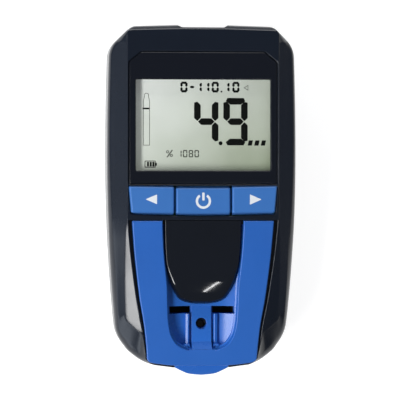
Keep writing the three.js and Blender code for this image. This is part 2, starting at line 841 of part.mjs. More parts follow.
function rearHousing() {
  const { outer } = stations;
  const shell = loft([
    at(inset(outer, backInset), backZ),
    at(inset(outer, 0.55 * backInset), backZ + 0.09 * rearDepth),
    at(inset(outer, 0.18 * backInset), backZ + 0.34 * rearDepth),
    at(outer, partZ),
  ]);
  const hollow = loft([
    at(inset(outer, backInset + 0.4 * wall), backZ + wall),
    at(inset(outer, 0.18 * backInset + wall), backZ + 0.4 * rearDepth),
    at(inset(outer, wall), partZ + past),
  ]);
  const rimOutside = inset(outer, wall + gap);
  const rimInside = inset(outer, wall + gap + rimWidth);
  const collarOutside = inset(outer, 0.5 * wall);
  const lap = joined(
    loft([at(rimOutside, partZ - rimBelow), at(rimOutside, partZ + rimAbove)]),
    loft([at(collarOutside, partZ - rimBelow), at(collarOutside, partZ - collarTop)]),
  );
  const rimSpace = loft([at(rimInside, partZ - rimBelow - past), at(rimInside, partZ + rimAbove + past)]);
  const rim = cutBy(lap, rimSpace);
  const seatHalf = doorHalf + doorClear + bayWall;
  const seat = box(
    -seatHalf,
    seatHalf,
    doorBottom - doorClear - bayWall,
    doorTop + doorClear + bayWall,
    backZ,
    seatZ + seatThick,
  );
  const bay = box(
    -bayHalf - bayWall,
    bayHalf + bayWall,
    bayBottom - bayWall,
    bayTop + bayWall,
    backZ + wall,
    bayRoofZ,
  );
  const boardPosts = [-1, 1].flatMap((side) =>
    [bayBottom + postInset, bayTop - postInset].map((y) =>
      post(side * (bayHalf - postInset), y, boardPostRadius, bayRoofZ - sunk, bayRoofZ + boardPost),
    ),
  );
  const opticsPostTop = opticsBase - 2 * gap - sensorBoardThick;
  const opticsPosts = [-1, 1].flatMap((side) =>
    [opticsFront + postInset, opticsRear - postInset].map((y) =>
      post(side * (opticsHalf - postInset), y, boardPostRadius, backZ + sunk, opticsPostTop),
    ),
  );
  const screwSeats = screwSpots.map(([x, y]) =>
    post(x, y, seatBossRadius, backZ + sunk, backZ + seatBossHeight),
  );
  const body = joined(
    cutBy(shell, hollow),
    rim,
    seat,
    bay,
    ...boardPosts,
    ...opticsPosts,
    ...screwSeats,
  );
  const doorway = box(
    -doorHalf - doorClear,
    doorHalf + doorClear,
    doorBottom - doorClear,
    doorTop + doorClear,
    backZ - past,
    seatZ,
  );
  const cells = box(-bayHalf, bayHalf, bayBottom, bayTop, backZ - past, bayTopZ);
  const tabSlots = [-1, 1].map((side) =>
    box(
      side * tabOffset - tabHalf - gap,
      side * tabOffset + tabHalf + gap,
      doorBottom - tabReach - tabSwing,
      bayBottom + gap,
      seatZ - past,
      seatZ + tabRoom,
    ),
  );
  const thumb = plate(
    mirrored([
      [latchHalf, doorTop + doorClear + thumbLength],
      [latchHalf + thumbFlare, doorTop + doorClear - sunk],
    ]),
    backZ - past,
    backZ + thumbDepth,
  );
  const under = backZ - past;
  const heads = screwSpots.map(([x, y]) => post(x, y, headRadius + headClear, under, backZ + headDepth, 24));
  const bores = screwSpots.map(([x, y]) => post(x, y, shankRadius + gap, under, partZ, 16));
  const pads = footSpots.map(([x, y]) => post(x, y, footRadius + gap, under, backZ + footSink + gap, 32));
  const cuts = [doorway, cells, ...tabSlots, thumb, ...heads, ...bores, ...pads];
  return cutBy(body, ...cuts, topNotch(), portCutter());
}

place("rear_housing", rearHousing(), finish(colours.rearDark, 0.45));

// Battery door with two tabs, a latch tongue and ribs that hold the cells

function batteryDoor() {
  const half = [
    ...corner([0, doorTop], [doorHalf, doorTop], [doorHalf, doorBottom], doorRound),
    ...corner([doorHalf, doorTop], [doorHalf, doorBottom], [0, doorBottom], doorRound),
  ];
  const panel = plate(mirrored(half), backZ, doorTopZ, doorBevel);
  const slits = [-1, 1].map((side) =>
    box(
      side * latchHalf - latchSlit / 2,
      side * latchHalf + latchSlit / 2,
      doorTop - latchLength,
      doorTop + past,
      backZ - past,
      doorTopZ + past,
    ),
  );
  const tabs = [-1, 1].map((side) =>
    box(
      side * tabOffset - tabHalf,
      side * tabOffset + tabHalf,
      doorBottom - tabReach,
      doorBottom + tabRoot,
      seatZ + tabLift,
      seatZ + tabLift + tabThick,
    ),
  );
  const tabRoots = [-1, 1].map((side) =>
    box(
      side * tabOffset - tabHalf,
      side * tabOffset + tabHalf,
      doorBottom + doorBevel,
      doorBottom + tabRoot,
      doorTopZ - sunk,
      seatZ + tabLift + tabThick,
    ),
  );
  const ribs = [0.3, 0.7].map((share) => {
    const y = THREE.MathUtils.lerp(bayBottom, bayTop, share);
    const half = ribWidth / 2;
    return box(3 * gap - bayHalf, bayHalf - 3 * gap, y - half, y + half, doorTopZ - sunk, doorTopZ + doorRib);
  });
  return cutBy(joined(panel, ...tabs, ...tabRoots, ...ribs), ...slits);
}

place("battery_door", batteryDoor(), finish(colours.rearDark, 0.5));

// Cells in alternating directions, with contact plates and springs at their ends

const cellX = (index) => (index - (cellCount - 1) / 2) * cellPitch;
const facesUp = (index) => index % 2 === 0;
const bareBottom = bayBottom + gap + contactThick + gap;
const bareTop = bayTop - gap - contactThick - gap;

function cellShape() {
  const body = cellLength - cellNub;
  const profile = [
    [0, 0],
    [cellRadius - 0.9, 0],
    [cellRadius - 0.8, 0.25],
    [cellRadius - 0.2, 0.3],
    [cellRadius, 0.6],
    [cellRadius, body - 0.6],
    [cellRadius - 0.2, body - 0.2],
    [cellRadius - 1.2, body],
    [cellNubRadius, body],
    [cellNubRadius, cellLength - 0.15],
    [cellNubRadius - 0.2, cellLength],
    [0, cellLength],
  ];
  return new THREE.LatheGeometry(
    profile.map(([x, y]) => new THREE.Vector2(x, y)),
    24,
  );
}

class SpringCurve extends THREE.Curve {
  getPoint(t, target = new THREE.Vector3()) {
    const angle = 2 * Math.PI * springTurns * t;
    const radius = THREE.MathUtils.lerp(springRadius, 0.72 * springRadius, t);
    const rise = THREE.MathUtils.lerp(springWire, springLength - springWire, t);
    return target.set(radius * Math.cos(angle), rise, radius * Math.sin(angle));
  }
}

function springShape() {
  const sides = 5;
  const wire = new THREE.Shape(
    Array.from({ length: sides }, (unused, index) => {
      const angle = (2 * Math.PI * index) / sides;
      return new THREE.Vector2(springWire * Math.cos(angle), springWire * Math.sin(angle));
    }),
  );
  return new THREE.ExtrudeGeometry(wire, {
    steps: 8 * springTurns,
    bevelEnabled: false,
    extrudePath: new SpringCurve(),
  });
}

for (let index = 0; index < cellCount; index += 1) {
  const up = facesUp(index);
  const cell = place(`battery_${index + 1}`, cellShape(), finish(colours.cell, 0.3, 0.6));
  const flatEnd = up ? bareBottom + springLength + gap : bareTop - springLength - gap;
  cell.position.set(cellX(index), flatEnd, cellZ);
  cell.rotation.z = up ? 0 : Math.PI;
  const spring = place(`contact_spring_${index + 1}`, springShape(), finish(colours.steel, 0.3, 0.9));
  spring.position.set(cellX(index), up ? bareBottom : bareTop, cellZ);
  spring.rotation.z = up ? 0 : Math.PI;
}

function contact(name, first, last, lower) {
  const y0 = lower ? bayBottom + gap : bayTop - gap - contactThick;
  const strip = box(
    cellX(first) - contactHalf,
    cellX(last) + contactHalf,
    y0,
    y0 + contactThick,
    cellZ - contactHalf,
    cellZ + contactHalf,
  );
  place(name, strip, finish(colours.steel, 0.3, 0.9));
}

contact("contact_plate_low_left", 0, 1, true);
contact("contact_plate_low_right", 2, 3, true);
contact("contact_plate_plus", 0, 0, false);
contact("contact_plate_middle", 1, 2, false);
contact("contact_plate_minus", 3, 3, false);

// Display: bezel, window, panel, holder and contact strips

function displayBezel() {
  const outline = bezelOutline(0);
  const panel = plate(mirrored(outline), bezelBackZ, faceZ + bezelProud, bezelBevel / 2);
  const halfX = viewWidth / 2;
  const halfY = viewHeight / 2;
  const frustum = loft([
    at([[halfX, viewY + halfY], [halfX, viewY - halfY]], bezelBackZ - past),
    at([[halfX, viewY + halfY], [halfX, viewY - halfY]], faceZ + bezelProud - bezelBevel),
    at(
      [
        [halfX + bezelBevel, viewY + halfY + bezelBevel],
        [halfX + bezelBevel, viewY - halfY - bezelBevel],
      ],
      faceZ + bezelProud,
    ),
    at(
      [
        [halfX + bezelBevel, viewY + halfY + bezelBevel],
        [halfX + bezelBevel, viewY - halfY - bezelBevel],
      ],
      faceZ + reach,
    ),
  ]);
  return panel.subtract(frustum);
}

place("display_bezel", displayBezel(), finish(colours.gloss, 0.15));

const viewBox = (border, z0, z1) =>
  box(
    -viewWidth / 2 - border,
    viewWidth / 2 + border,
    viewY - viewHeight / 2 - border,
    viewY + viewHeight / 2 + border,
    z0,
    z1,
  );

place("display_window", viewBox(windowBorder, windowBackZ, windowTopZ), finish(colours.glass, 0.05));
place("lcd_panel", viewBox(lcdBorder, lcdBackZ, lcdTopZ), finish(colours.display, 0.4));

const holderTopZ = lcdBackZ - gap;
const stripY = viewHeight / 2 + lcdBorder - holderRail - gap - zebraWidth / 2;
const stripHalf = viewWidth / 2 - zebraShort;

function lcdHolder() {
  const ring = viewBox(lcdBorder, onBoardZ, holderTopZ);
  const middle = box(
    -stripHalf,
    stripHalf,
    viewY - stripY + zebraWidth / 2 + gap + holderRail,
    viewY + stripY - zebraWidth / 2 - gap - holderRail,
    0,
    faceZ,
  );
  const slots = [-1, 1].map((side) =>
    box(
      -stripHalf - gap,
      stripHalf + gap,
      viewY + side * stripY - zebraWidth / 2 - gap,
      viewY + side * stripY + zebraWidth / 2 + gap,
      0,
      faceZ,
    ),
  );
  return cutBy(ring, middle, ...slots);
}

place("lcd_holder", lcdHolder(), finish(colours.pale, 0.6));
for (const [name, side] of [["upper", 1], ["lower", -1]]) {
  const y = viewY + side * stripY;
  const strip = box(-stripHalf, stripHalf, y - zebraWidth / 2, y + zebraWidth / 2, onBoardZ, holderTopZ);
  place(`zebra_strip_${name}`, strip, finish(colours.grey, 0.8));
}

// Main board

const boardOutline = [
  [boardNeck, boardTop],
  [boardNeck, boardNeckY],
  [boardHalf, boardNeckY],
  [boardHalf, boardBottom],
];
place("main_board", plate(mirrored(boardOutline), boardZ, boardTopZ), finish(colours.board, 0.5));

function block(name, x, y, size, z0, z1, color) {
  const half = size / 2;
  place(name, box(x - half, x + half, y - half, y + half, z0, z1), finish(color, 0.4));
}

block("processor_chip", processorX, viewY, chipSize, onBoardZ, onBoardZ + chipHeight, colours.chip);
block("memory_chip", memoryX, viewY, smallChip, onBoardZ, onBoardZ + chipHeight, colours.chip);
place(
  "buzzer",
  cutBy(
    post(buzzerX, buzzerY, buzzerRadius, onBoardZ, onBoardZ + buzzerHeight, 28),
    post(buzzerX, buzzerY, 0.2 * buzzerRadius, onBoardZ + 0.4 * buzzerHeight, faceZ, 12),
  ),
  finish(colours.chip, 0.5),
);

function dataPort() {
  const z0 = portZ;
  const z1 = portZ + portHeight;
  const y0 = topEnd - notchDepth - portBack - portLength;
  const y1 = y0 + portLength;
  const inner = portHalf - portWall;
  const bladeHalf = portHalf - portBlade;
  const shell = box(-portHalf, portHalf, y0, y1, z0, z1);
  const mouth = box(-inner, inner, y0 + 3 * portWall, y1 + past, z0 + portWall, z1 - portWall);
  const blade = box(-bladeHalf, bladeHalf, y0 + portWall, y1 - portBlade, z0 + portBlade, z1 - portBlade);
  return joined(cutBy(shell, mouth), blade);
}

place("data_port", dataPort(), finish(colours.steel, 0.3, 0.9));

// Keys with their switches and plungers

const flangeTopZ = innerFaceZ - gap - 0.1;
const switchTopZ = onBoardZ + switchHeight;
const plungerTopZ = switchTopZ + plungerStick;
const stemZ = plungerTopZ + gap;

// The flange reaches past the cap at the upper and lower edges only, because the keys lie side by side
function widened(points, distance) {
  return points.map(([x, y]) => [x, y + Math.sign(y) * distance]);
}

for (const name of keyNames) {
  const outline = [...keyRow[name]].reverse();
  const x = keyCentre(name);
  const cap = plate(outline, flangeTopZ - sunk, faceZ + keyProud, keyBevel);
  const flange = plate(widened(outline, keyFlange), flangeTopZ - keyFlangeThick, flangeTopZ);
  const stem = post(x, 0, stemRadius, stemZ, flangeTopZ - sunk);
  place(`button_${name}`, joined(cap, flange, stem), finish(colours.keyBlue, 0.4));
  const half = switchSize / 2;
  const well = post(x, 0, plungerRadius + gap, onBoardZ + wellFloor, switchTopZ + past);
  const body = cutBy(box(x - half, x + half, -half, half, onBoardZ, switchTopZ), well);
  place(`switch_${name}`, body, finish(colours.steel, 0.4, 0.6));
  const plungerZ = onBoardZ + wellFloor + gap + keyTravel;
  place(`plunger_${name}`, post(x, 0, plungerRadius, plungerZ, plungerTopZ), finish(colours.rubber, 0.6));
}

// Blue frame on the lower deck

function frontFrame() {
  const outside = plate(mirrored(deckHalf(frameOutline)), frameProud - frameThick, frameProud, frameBevel);
  const opening = deckHalf(recessOutline);
  opening[0][1] += reach;
  return outside.subtract(plate(mirrored(opening), -reach, reach));
}

place("front_frame", frontFrame(), finish(colours.blue, 0.4), deck);

// The tray's shelf leaves room for the tongue
const coverOutline = deckHalf(shaped(tongueShape, tongueHalf, frameTop, tongueBottom));

// Dished tray with its platform, rails, slots, hole and end lip

function testTray() {
  const outline = deckHalf(trayOutline);
  const top = -pocketDepth;
  const floor = -bowlDepth;
  const tub = plate(mirrored(aroundTray(trayWall)), floor - trayFloor, top);
  const flange = plate(mirrored(aroundTray(trayFlange)), top - trayFlangeThick, top);
  const bowl = loft([
    at(inset(outline, bowlDraft), floor),
    at(inset(outline, 0.62 * bowlDraft), floor + 0.09 * bowlDepth),
    at(inset(outline, 0.28 * bowlDraft), floor + 0.28 * bowlDepth),
    at(outline, top),
    at(outline, reach),
  ]);
  const floorTop = floor + platformHeight;
  const rampMiddle = THREE.MathUtils.lerp(rampStart, recessBottom, 0.55);
  const profile = [
    [floor - sunk, alongDeck(platformTop)],
    [floorTop, alongDeck(platformTop)],
    [floorTop, alongDeck(rampStart)],
    [THREE.MathUtils.lerp(floorTop, top, 0.4), alongDeck(rampMiddle)],
    [top, alongDeck(recessBottom - 0.5 * trayWall)],
    [floor - sunk, alongDeck(recessBottom - 0.5 * trayWall)],
  ];
  const side = new THREE.ExtrudeGeometry(
    new THREE.Shape(profile.map(([z, y]) => new THREE.Vector2(y, z))),
    { depth: 2 * platformHalf, bevelEnabled: false },
  );
  side.rotateX(Math.PI / 2);
  side.rotateZ(Math.PI / 2);
  side.translate(-platformHalf, 0, 0);
  const platform = solid(side);
  const rails = [-1, 1].map((side) => {
    const inner = side * railInner;
    const outer = side * (railInner + railWidth);
    return box(
      Math.min(inner, outer),
      Math.max(inner, outer),
      alongDeck(railBottom),
      alongDeck(railTop),
      floor - sunk,
      floor + railHeight,
    );
  });
  const feet = [-1, 1].map((side) => {
    const middle = side * (railInner + railWidth / 2);
    const y0 = alongDeck(railBottom - 0.6 * railFootLength);
    const y1 = y0 + railFootLength;
    return box(middle - railWidth, middle + railWidth, y0, y1, floor - sunk, floor + railFootHeight);
  });
  const shelf = loft([
    at(inset(outline, 0.5 * bowlDraft), floor - sunk),
    at(outline, floor + shelfHeight),
  ]).intersect(box(-recessHalf, recessHalf, alongDeck(slotTop), alongDeck(shelfTop), floor - past, top));
  const tongueSpace = loft([
    at(inset(coverOutline, -gap), floor),
    at(inset(coverOutline, -gap), reach),
  ]);
  const slots = [-1, 1].map((side) => {
    const inner = side * slotInner;
    const outer = side * slotOuter;
    const ends = [Math.min(inner, outer), Math.max(inner, outer)];
    const z1 = floor + shelfHeight + past;
    return box(ends[0], ends[1], alongDeck(slotBottom), alongDeck(slotTop), floor - reach, z1);
  });
  const hole = post(0, alongDeck(testHoleY), testHoleRadius, floor - reach, reach, 20);
  const lip = plate(
    mirrored([
      [lipRoot, alongDeck(recessBottom)],
      [lipRoot, alongDeck(lipEnd + lipLean)],
      [lipRoot - 0.8 * lipLean, alongDeck(lipEnd + 0.63 * lipLean)],
      [lipTip + 0.47 * lipLean, alongDeck(lipEnd + 0.13 * lipLean)],
      [lipTip, alongDeck(lipEnd)],
    ]),
    top - lipThick,
    top,
    lipBevel,
  );
  const shell = cutBy(joined(tub, flange, lip), bowl);
  const withShelf = cutBy(joined(shell, shelf), tongueSpace);
  return cutBy(joined(withShelf, platform, ...rails, ...feet), ...slots, hole);
}

place("test_tray", testTray(), finish(colours.blue, 0.35), deck);

// Tongue: a glossy cover whose nose rolls down towards the slots

function opticsCover() {
  const outline = coverOutline;
  const root = [[tongueHalf, alongDeck(trayTop - 2 * gap)], ...outline.slice(1)];
  const noseStart = alongDeck(THREE.MathUtils.lerp(frameTop, tongueBottom, noseShare));
  const noseEnd = alongDeck(tongueBottom);
  const roll = (y) => {
    const share = THREE.MathUtils.clamp((noseStart - y) / (noseStart - noseEnd), 0, 1);
    return tongueNose * share ** 2;
  };
  const base = gap - bowlDepth;
  const skin = loft([
    at(inset(root, tongueDraft), base),
    at(inset(root, 0.12 * tongueDraft), -3 * tongueRound),
    at(root, (x, y) => coverStep - pocketDepth - roll(y)),
    at(outline, (x, y) => 2 * coverStep - pocketDepth - roll(y)),
    at(inset(outline, 0.25 * tongueRound), (x, y) => -0.6 * tongueRound - roll(y)),
    at(inset(outline, 0.8 * tongueRound), (x, y) => -0.28 * tongueRound - roll(y)),
    at(inset(outline, 1.8 * tongueRound), (x, y) => -0.15 * tongueRound - roll(y)),
  ]);
  const hollow = loft([
    at(inset(root, tongueDraft + tongueWall), base - past),
    at(inset(root, tongueDraft + tongueWall), (x, y) => -2 * tongueRound - roll(y)),
  ]);
  return skin.subtract(hollow);
}

place("optics_cover", opticsCover(), finish(colours.gloss, 0.1), deck);

// Optics under the slots

const trayUnderZ = (y) => faceAt(y) - (bowlDepth + trayFloor) / Math.cos(deckAngle);
const opticsTopZ = Math.min(trayUnderZ(opticsFront), trayUnderZ(opticsRear)) - gap;
const slotMiddle = (slotInner + slotOuter) / 2;

function opticsBlock() {
  const body = box(-opticsHalf, opticsHalf, opticsFront, opticsRear, opticsBase, opticsTopZ);
  const cuts = [-1, 1].flatMap((side) => {
    const x = side * slotMiddle;
    const half = (slotOuter - slotInner) / 2;
    const ledBore = new THREE.CylinderGeometry(ledRadius + gap, ledRadius + gap, ledBoreLength, 16);
    ledBore.translate(x, slotBottom - ledBoreLength / 2, lightHeight);
    return [
      box(x - half, x + half, slotBottom - gap, slotTop + gap, opticsBase + opticsFloor, opticsTopZ + past),
      solid(ledBore),
      box(
        x - detectorWidth / 2 - gap,
        x + detectorWidth / 2 + gap,
        slotTop,
        opticsRear + past,
        lightHeight - detectorHeight / 2 - gap,
        lightHeight + detectorHeight / 2 + gap,
      ),
    ];
  });
  const sensor = post(0, testHoleY, sensorRadius + gap, opticsBase - past, opticsTopZ + past, 16);
  return cutBy(body, ...cuts, sensor);
}

place("optics_block", opticsBlock(), finish(colours.chip, 0.7));
for (const [name, side] of [["left", -1], ["right", 1]]) {
  const x = side * slotMiddle;
  const bulb = new THREE.CylinderGeometry(ledRadius, ledRadius, ledLength, 14);
  bulb.translate(x, slotBottom - lightSpace - ledLength / 2, lightHeight);
  place(`led_${name}`, bulb, finish(colours.pale, 0.2));
  const eye = box(
    x - detectorWidth / 2,
    x + detectorWidth / 2,
    slotTop + lightSpace,
    slotTop + lightSpace + detectorDepth,
    lightHeight - detectorHeight / 2,
    lightHeight + detectorHeight / 2,
  );
  place(`detector_${name}`, eye, finish(colours.chip, 0.2));
}
const sensorBoardZ = opticsBase - gap - sensorBoardThick;
place(
  "sensor_board",
  box(-opticsHalf, opticsHalf, opticsFront, opticsRear, sensorBoardZ, opticsBase - gap),
  finish(colours.board, 0.5),
);
place(
  "cartridge_sensor",
  post(0, testHoleY, sensorRadius, opticsBase, opticsTopZ - sensorBelow, 16),
  finish(colours.brass, 0.3, 0.8),
);

// Case screws and rubber feet

function caseScrew() {
  const profile = [
    [0, driveDepth],
    [driveRadius, driveDepth],
    [driveRadius, 0],
    [headRadius - headEdge, 0],
    [headRadius, headEdge],
    [headRadius, headHeight],
    [shankRadius, headHeight],
    [shankRadius, headHeight + shankLength - screwPoint],
    [0.25 * shankRadius, headHeight + shankLength],
    [0, headHeight + shankLength],
  ];
  const shape = new THREE.LatheGeometry(
    profile.map(([x, y]) => new THREE.Vector2(x, y)),
    16,
  );
  shape.rotateX(Math.PI / 2);
  return shape;
}

screwSpots.forEach(([x, y], index) => {
  const screw = place(`case_screw_${index + 1}`, caseScrew(), finish(colours.steel, 0.35, 0.9));
  screw.position.set(x, y, backZ + headDepth - gap - headHeight);
});

footSpots.forEach(([x, y], index) => {
  const pad = new THREE.CylinderGeometry(footRadius, footRadius - footTaper, footDrop + footSink, 32);
  pad.rotateX(Math.PI / 2);
  const foot = place(`foot_${index + 1}`, pad, finish(colours.rubber, 0.8));
  foot.position.set(x, y, (footDrop + footSink) / 2);
});

export default analyzer;
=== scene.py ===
"""Handheld glucose analyzer on a pale floor.

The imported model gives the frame. Detailed pieces replace its visible solids, and the solids that
stay get materials. Shapes are worked out in millimetres and scaled to metres at the end.
"""

import math

import bpy
from mathutils import Matrix, Vector


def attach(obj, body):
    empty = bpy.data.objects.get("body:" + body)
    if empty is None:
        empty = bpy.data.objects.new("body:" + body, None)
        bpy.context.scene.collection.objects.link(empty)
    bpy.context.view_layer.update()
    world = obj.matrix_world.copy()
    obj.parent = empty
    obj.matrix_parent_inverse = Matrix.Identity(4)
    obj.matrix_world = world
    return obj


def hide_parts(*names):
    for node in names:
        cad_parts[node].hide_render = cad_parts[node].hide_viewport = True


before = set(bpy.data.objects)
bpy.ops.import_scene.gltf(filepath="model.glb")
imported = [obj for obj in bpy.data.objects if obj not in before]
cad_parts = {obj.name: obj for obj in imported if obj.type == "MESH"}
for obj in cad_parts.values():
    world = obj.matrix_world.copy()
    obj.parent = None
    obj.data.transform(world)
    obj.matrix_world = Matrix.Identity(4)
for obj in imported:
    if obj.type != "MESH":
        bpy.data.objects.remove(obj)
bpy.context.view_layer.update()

MM = 0.001

# Fits
GAP = 0.3
WALL = 2.0
REACH = 20.0

# Outline of the case
HALF_WIDTH = 39.0
WIDEST_Y = 18.0
UPPER_BOW = 0.0004
LOWER_BOW = 0.0007
TOP_ROUND = 2.2
CORNER_ROUND = 4.0
LOW_ROUND = 4.4
BOTTOM_ROUND = 4.8
TOP_END = 71.75
TOP_FALL = 0.6
TOP_HALF = 29.2
TOP_CUT = 9.2
BOTTOM_END = -69.8
BOTTOM_FALL = 2.5
BOTTOM_HALF = 23.4
BOTTOM_CUT = 12.2
BOTTOM_BULGE = 0.8
NOTCH_HALF = 8.7
NOTCH_DEPTH = 1.25
NOTCH_BELOW = 8.5
CORNER_STEPS = 6
SIDE_STEPS = 12

# Heights
FOOT_DROP = 0.8
PART_Z = 15.0
FRONT_Z = 15.3
FACE_Z = 32.5
SHOULDER_DROP = 4.0
NARROW_DROP = 1.7
EDGE_DROP = 3.0
BACK_INSET = 5.0
REAR_DEPTH = 14.2

# Raised face
FACE_HALF = 30.9
SHOULDER_WIDE = 8.1
SHOULDER_END = 2.0
FACE_ROUND = 2.4
CREASE_WIDTH = 0.4
CREASE_DROP = 0.32
FACET_SWELL = 1.0
FACET_SLOPE = 0.40
FACET_FADE = 14
FACET_END = -49.4
FACET_LOW = FACET_END - 5

# Lower deck
HINGE_Y = -7.0
DECK_ANGLE = math.radians(5.0)
SKIN_RAMP = 2.2

# Display
VIEW_HALF_X = 27.55
VIEW_HALF_Y = 18.55
VIEW_Y = 30.6
BEZEL_THICK = 1.4
BEZEL_PROUD = 0.2
BEZEL_TOP = 60.3
BEZEL_BOTTOM = 6.7
BEZEL_CUT_WIDE = 5.1
BEZEL_CUT_TALL = 4.1
BEZEL_BEVEL = 0.5
WINDOW_THICK = 1.8
WINDOW_BORDER = 1.0
LCD_THICK = 2.6
LCD_BORDER = 2.8

# Keys
KEY_HALF = 5.4
KEY_GAP = 1.1
POWER_HALF = 10.95
KEY_ROW_HALF = 30.2
KEY_TAPER = 0.9
KEY_BOW = 0.7
KEY_CLEAR = 0.4
KEY_PROUD = 0.9
KEY_EDGE = 0.55
KEY_TRIM = 0.4
KEY_SKIRT = 0.22
KEY_FLANGE = 0.8
KEY_FLANGE_THICK = 1.1
STEM_RADIUS = 2.0
SWITCH_HEIGHT = 3.5 + 1.6

# Blue frame and recess
FRAME_TOP = -8.5
FRAME_BOTTOM = -67.4
FRAME_HALF = 29.1
FRAME_THICK = 2.3
FRAME_PROUD = 0.4
FRAME_EDGE = 0.5
GROOVE_WIDTH = 1.6
GROOVE_END = 0.5
RECESS_HALF = 16.7
RECESS_BOTTOM = -61.9
TRAY_TOP = -10.7
BOWL_DEPTH = 7.0
TRAY_WALL = 1.4
TRAY_FLOOR = 1.6
TRAY_FLANGE = 3.2
TRAY_FLANGE_THICK = 1.5
DECK_LEDGE = 1.4
DISH_SLOPE = math.radians(22.5)
SHELF_SLOPE = math.radians(14.0)
BAND_WIDE = 0.8
BAND_DROP = 0.29
PLATFORM_HALF = 4.1
PLATFORM_HEIGHT = 1.6
RAMP_END = -61.22
BRIDGE_HALF = 5.4
RAIL_INNER = 4.9
RAIL_HEIGHT = 3.0
RAIL_TOP = -47.0
RAIL_BOTTOM = -59.6
STOP_INNER = 4.6
STOP_OUTER = 7.5
STOP_TOP = -59.4
STOP_BOTTOM = -61.6
STOP_RISE = 1.6
SHELF_TOP = -35.0
SLOT_INNER = 4.5
SLOT_OUTER = 13.4
SLOT_TOP = -43.9
SLOT_BOTTOM = -47.1
TEST_HOLE_Y = -51.1
TEST_HOLE_RADIUS = 2.2
LIP_ROOT = 11.0
LIP_TIP = 4.6
LIP_END = -72.1
LIP_THICK = 3.8
SEAM_WIDE = 0.45
SEAM_DEEP = 1.7

# Tongue
TONGUE_HALF = 15.8
TONGUE_BOTTOM = -42.7
TONGUE_WALL = 1.6
TONGUE_DRAFT = 2.4
TONGUE_ROUND = 1.5
TONGUE_NOSE = 2.2
NOSE_SHARE = 0.62
TONGUE_CROWN = 0.5

# Data port, battery bay, screws and feet
PORT_HALF = 3.9
PORT_HEIGHT = 3.2
PORT_LENGTH = 7.4
CELL_PITCH = 11.2
CELL_RADIUS = 5.25
BAY_BOTTOM = -6.0
BAY_LENGTH = 44.5 + 5.6 + 1.0 + 1.8
BAY_WALL = 1.4
DOOR_THICK = 1.8
DOOR_MARGIN = 2.1
DOOR_CLEAR = 0.4
DOOR_RIB = 0.6
SEAT_THICK = 1.5
TAB_OFFSET = 14.0
TAB_HALF = 3.5
TAB_REACH = 2.4
TAB_THICK = 1.1
LATCH_HALF = 6.0
LATCH_LENGTH = 9.0
LATCH_SLIT = 0.7
GRIP_COUNT = 5
GRIP_PITCH = 1.35
GRIP_HALF = LATCH_HALF - 1.6
GRIP_DEPTH = 0.45
FOOT_RADIUS = 4.5
FOOT_SINK = 0.7
FOOT_SPOTS = [(-22.5, 61.0), (22.5, 61.0), (-21.0, -52.5), (21.0, -52.5)]
SCREW_SPOTS = [(-29.3, 57.5), (29.3, 57.5), (-28.4, -36.0), (28.4, -36.0)]
HEAD_RADIUS = 2.4
HEAD_DEPTH = 2.2
SHANK_RADIUS = 1.2
SHANK_LENGTH = 9.5
BOSS_RADIUS = 3.0
SEAT_BOSS_RADIUS = 4.0
SEAT_BOSS_HEIGHT = 4.2
POST_RADIUS = 2.2
POST_HEIGHT = 3.0
BOARD_POST_INSET = 3.5
OPTICS_POST_X = 12.4
OPTICS_POST_YS = (-50.0, -41.0)
OPTICS_BOARD_Z = 7.5

# Levels
BACK_Z = FOOT_DROP
POCKET_DEPTH = FRAME_THICK - FRAME_PROUD + GAP
DECK_SKIN = POCKET_DEPTH + TRAY_FLANGE_THICK + GAP + DECK_LEDGE
DOOR_TOP_Z = BACK_Z + DOOR_THICK
SEAT_Z = DOOR_TOP_Z + GAP
CELL_Z = SEAT_Z + DOOR_RIB + CELL_RADIUS
BAY_TOP_Z = CELL_Z + CELL_RADIUS + GAP
BAY_ROOF_Z = BAY_TOP_Z + BAY_WALL
BOARD_Z = BAY_ROOF_Z + POST_HEIGHT + GAP
ON_BOARD_Z = BOARD_Z + 1.6 + GAP
PORT_Z = BOARD_Z - GAP - PORT_HEIGHT
BEZEL_BACK_Z = FACE_Z + BEZEL_PROUD - BEZEL_THICK
WINDOW_TOP_Z = BEZEL_BACK_Z - GAP
WINDOW_BACK_Z = WINDOW_TOP_Z - WINDOW_THICK
LCD_TOP_Z = WINDOW_BACK_Z - GAP
LCD_BACK_Z = LCD_TOP_Z - LCD_THICK
FLANGE_TOP_Z = FACE_Z - WALL - GAP - 0.1
STEM_Z = ON_BOARD_Z + SWITCH_HEIGHT + GAP
BAY_TOP = BAY_BOTTOM + BAY_LENGTH
BAY_HALF = 1.5 * CELL_PITCH + CELL_RADIUS + GAP
DOOR_HALF = BAY_HALF + DOOR_MARGIN
DOOR_BOTTOM = BAY_BOTTOM - DOOR_MARGIN
DOOR_TOP = BAY_TOP + DOOR_MARGIN

# Photograph: size of a pixel and column of x 0 at the display and at the keys, and row of y 0
SCREEN_PIXEL = 0.4095
SCREEN_COLUMN = 202.4
MARK_PIXEL = 0.4077
MARK_COLUMN = 203.5
MIDDLE_ROW = 200.1

# Signs: heights of the display's ink and of the keys' marks
INK_Z0 = LCD_TOP_Z - 0.03
INK_Z1 = LCD_TOP_Z + 0.03
MARK_Z0 = FACE_Z + KEY_PROUD - 0.15
MARK_Z1 = FACE_Z + KEY_PROUD + 0.03

# Finish and floor, in metres and shares
# Radius of the paler edges, which are partly wear and partly a painted highlight
EDGE_WEAR_AND_HIGHLIGHT = 0.00025
WINDOW_MIRROR = 0.015
FLOOR_GLOW = 0.86
FLOOR_Z = -0.00002
FLOOR_HALF = 3.0


# Small helpers


def lerp(a, b, t):
    return a + (b - a) * t


def lerp_point(a, b, t):
    return (lerp(a[0], b[0], t), lerp(a[1], b[1], t))


def clamp(value, low, high):
    return max(low, min(high, value))


def smoothstep(value, low, high):
    t = clamp((value - low) / (high - low), 0.0, 1.0)
    return t * t * (3 - 2 * t)


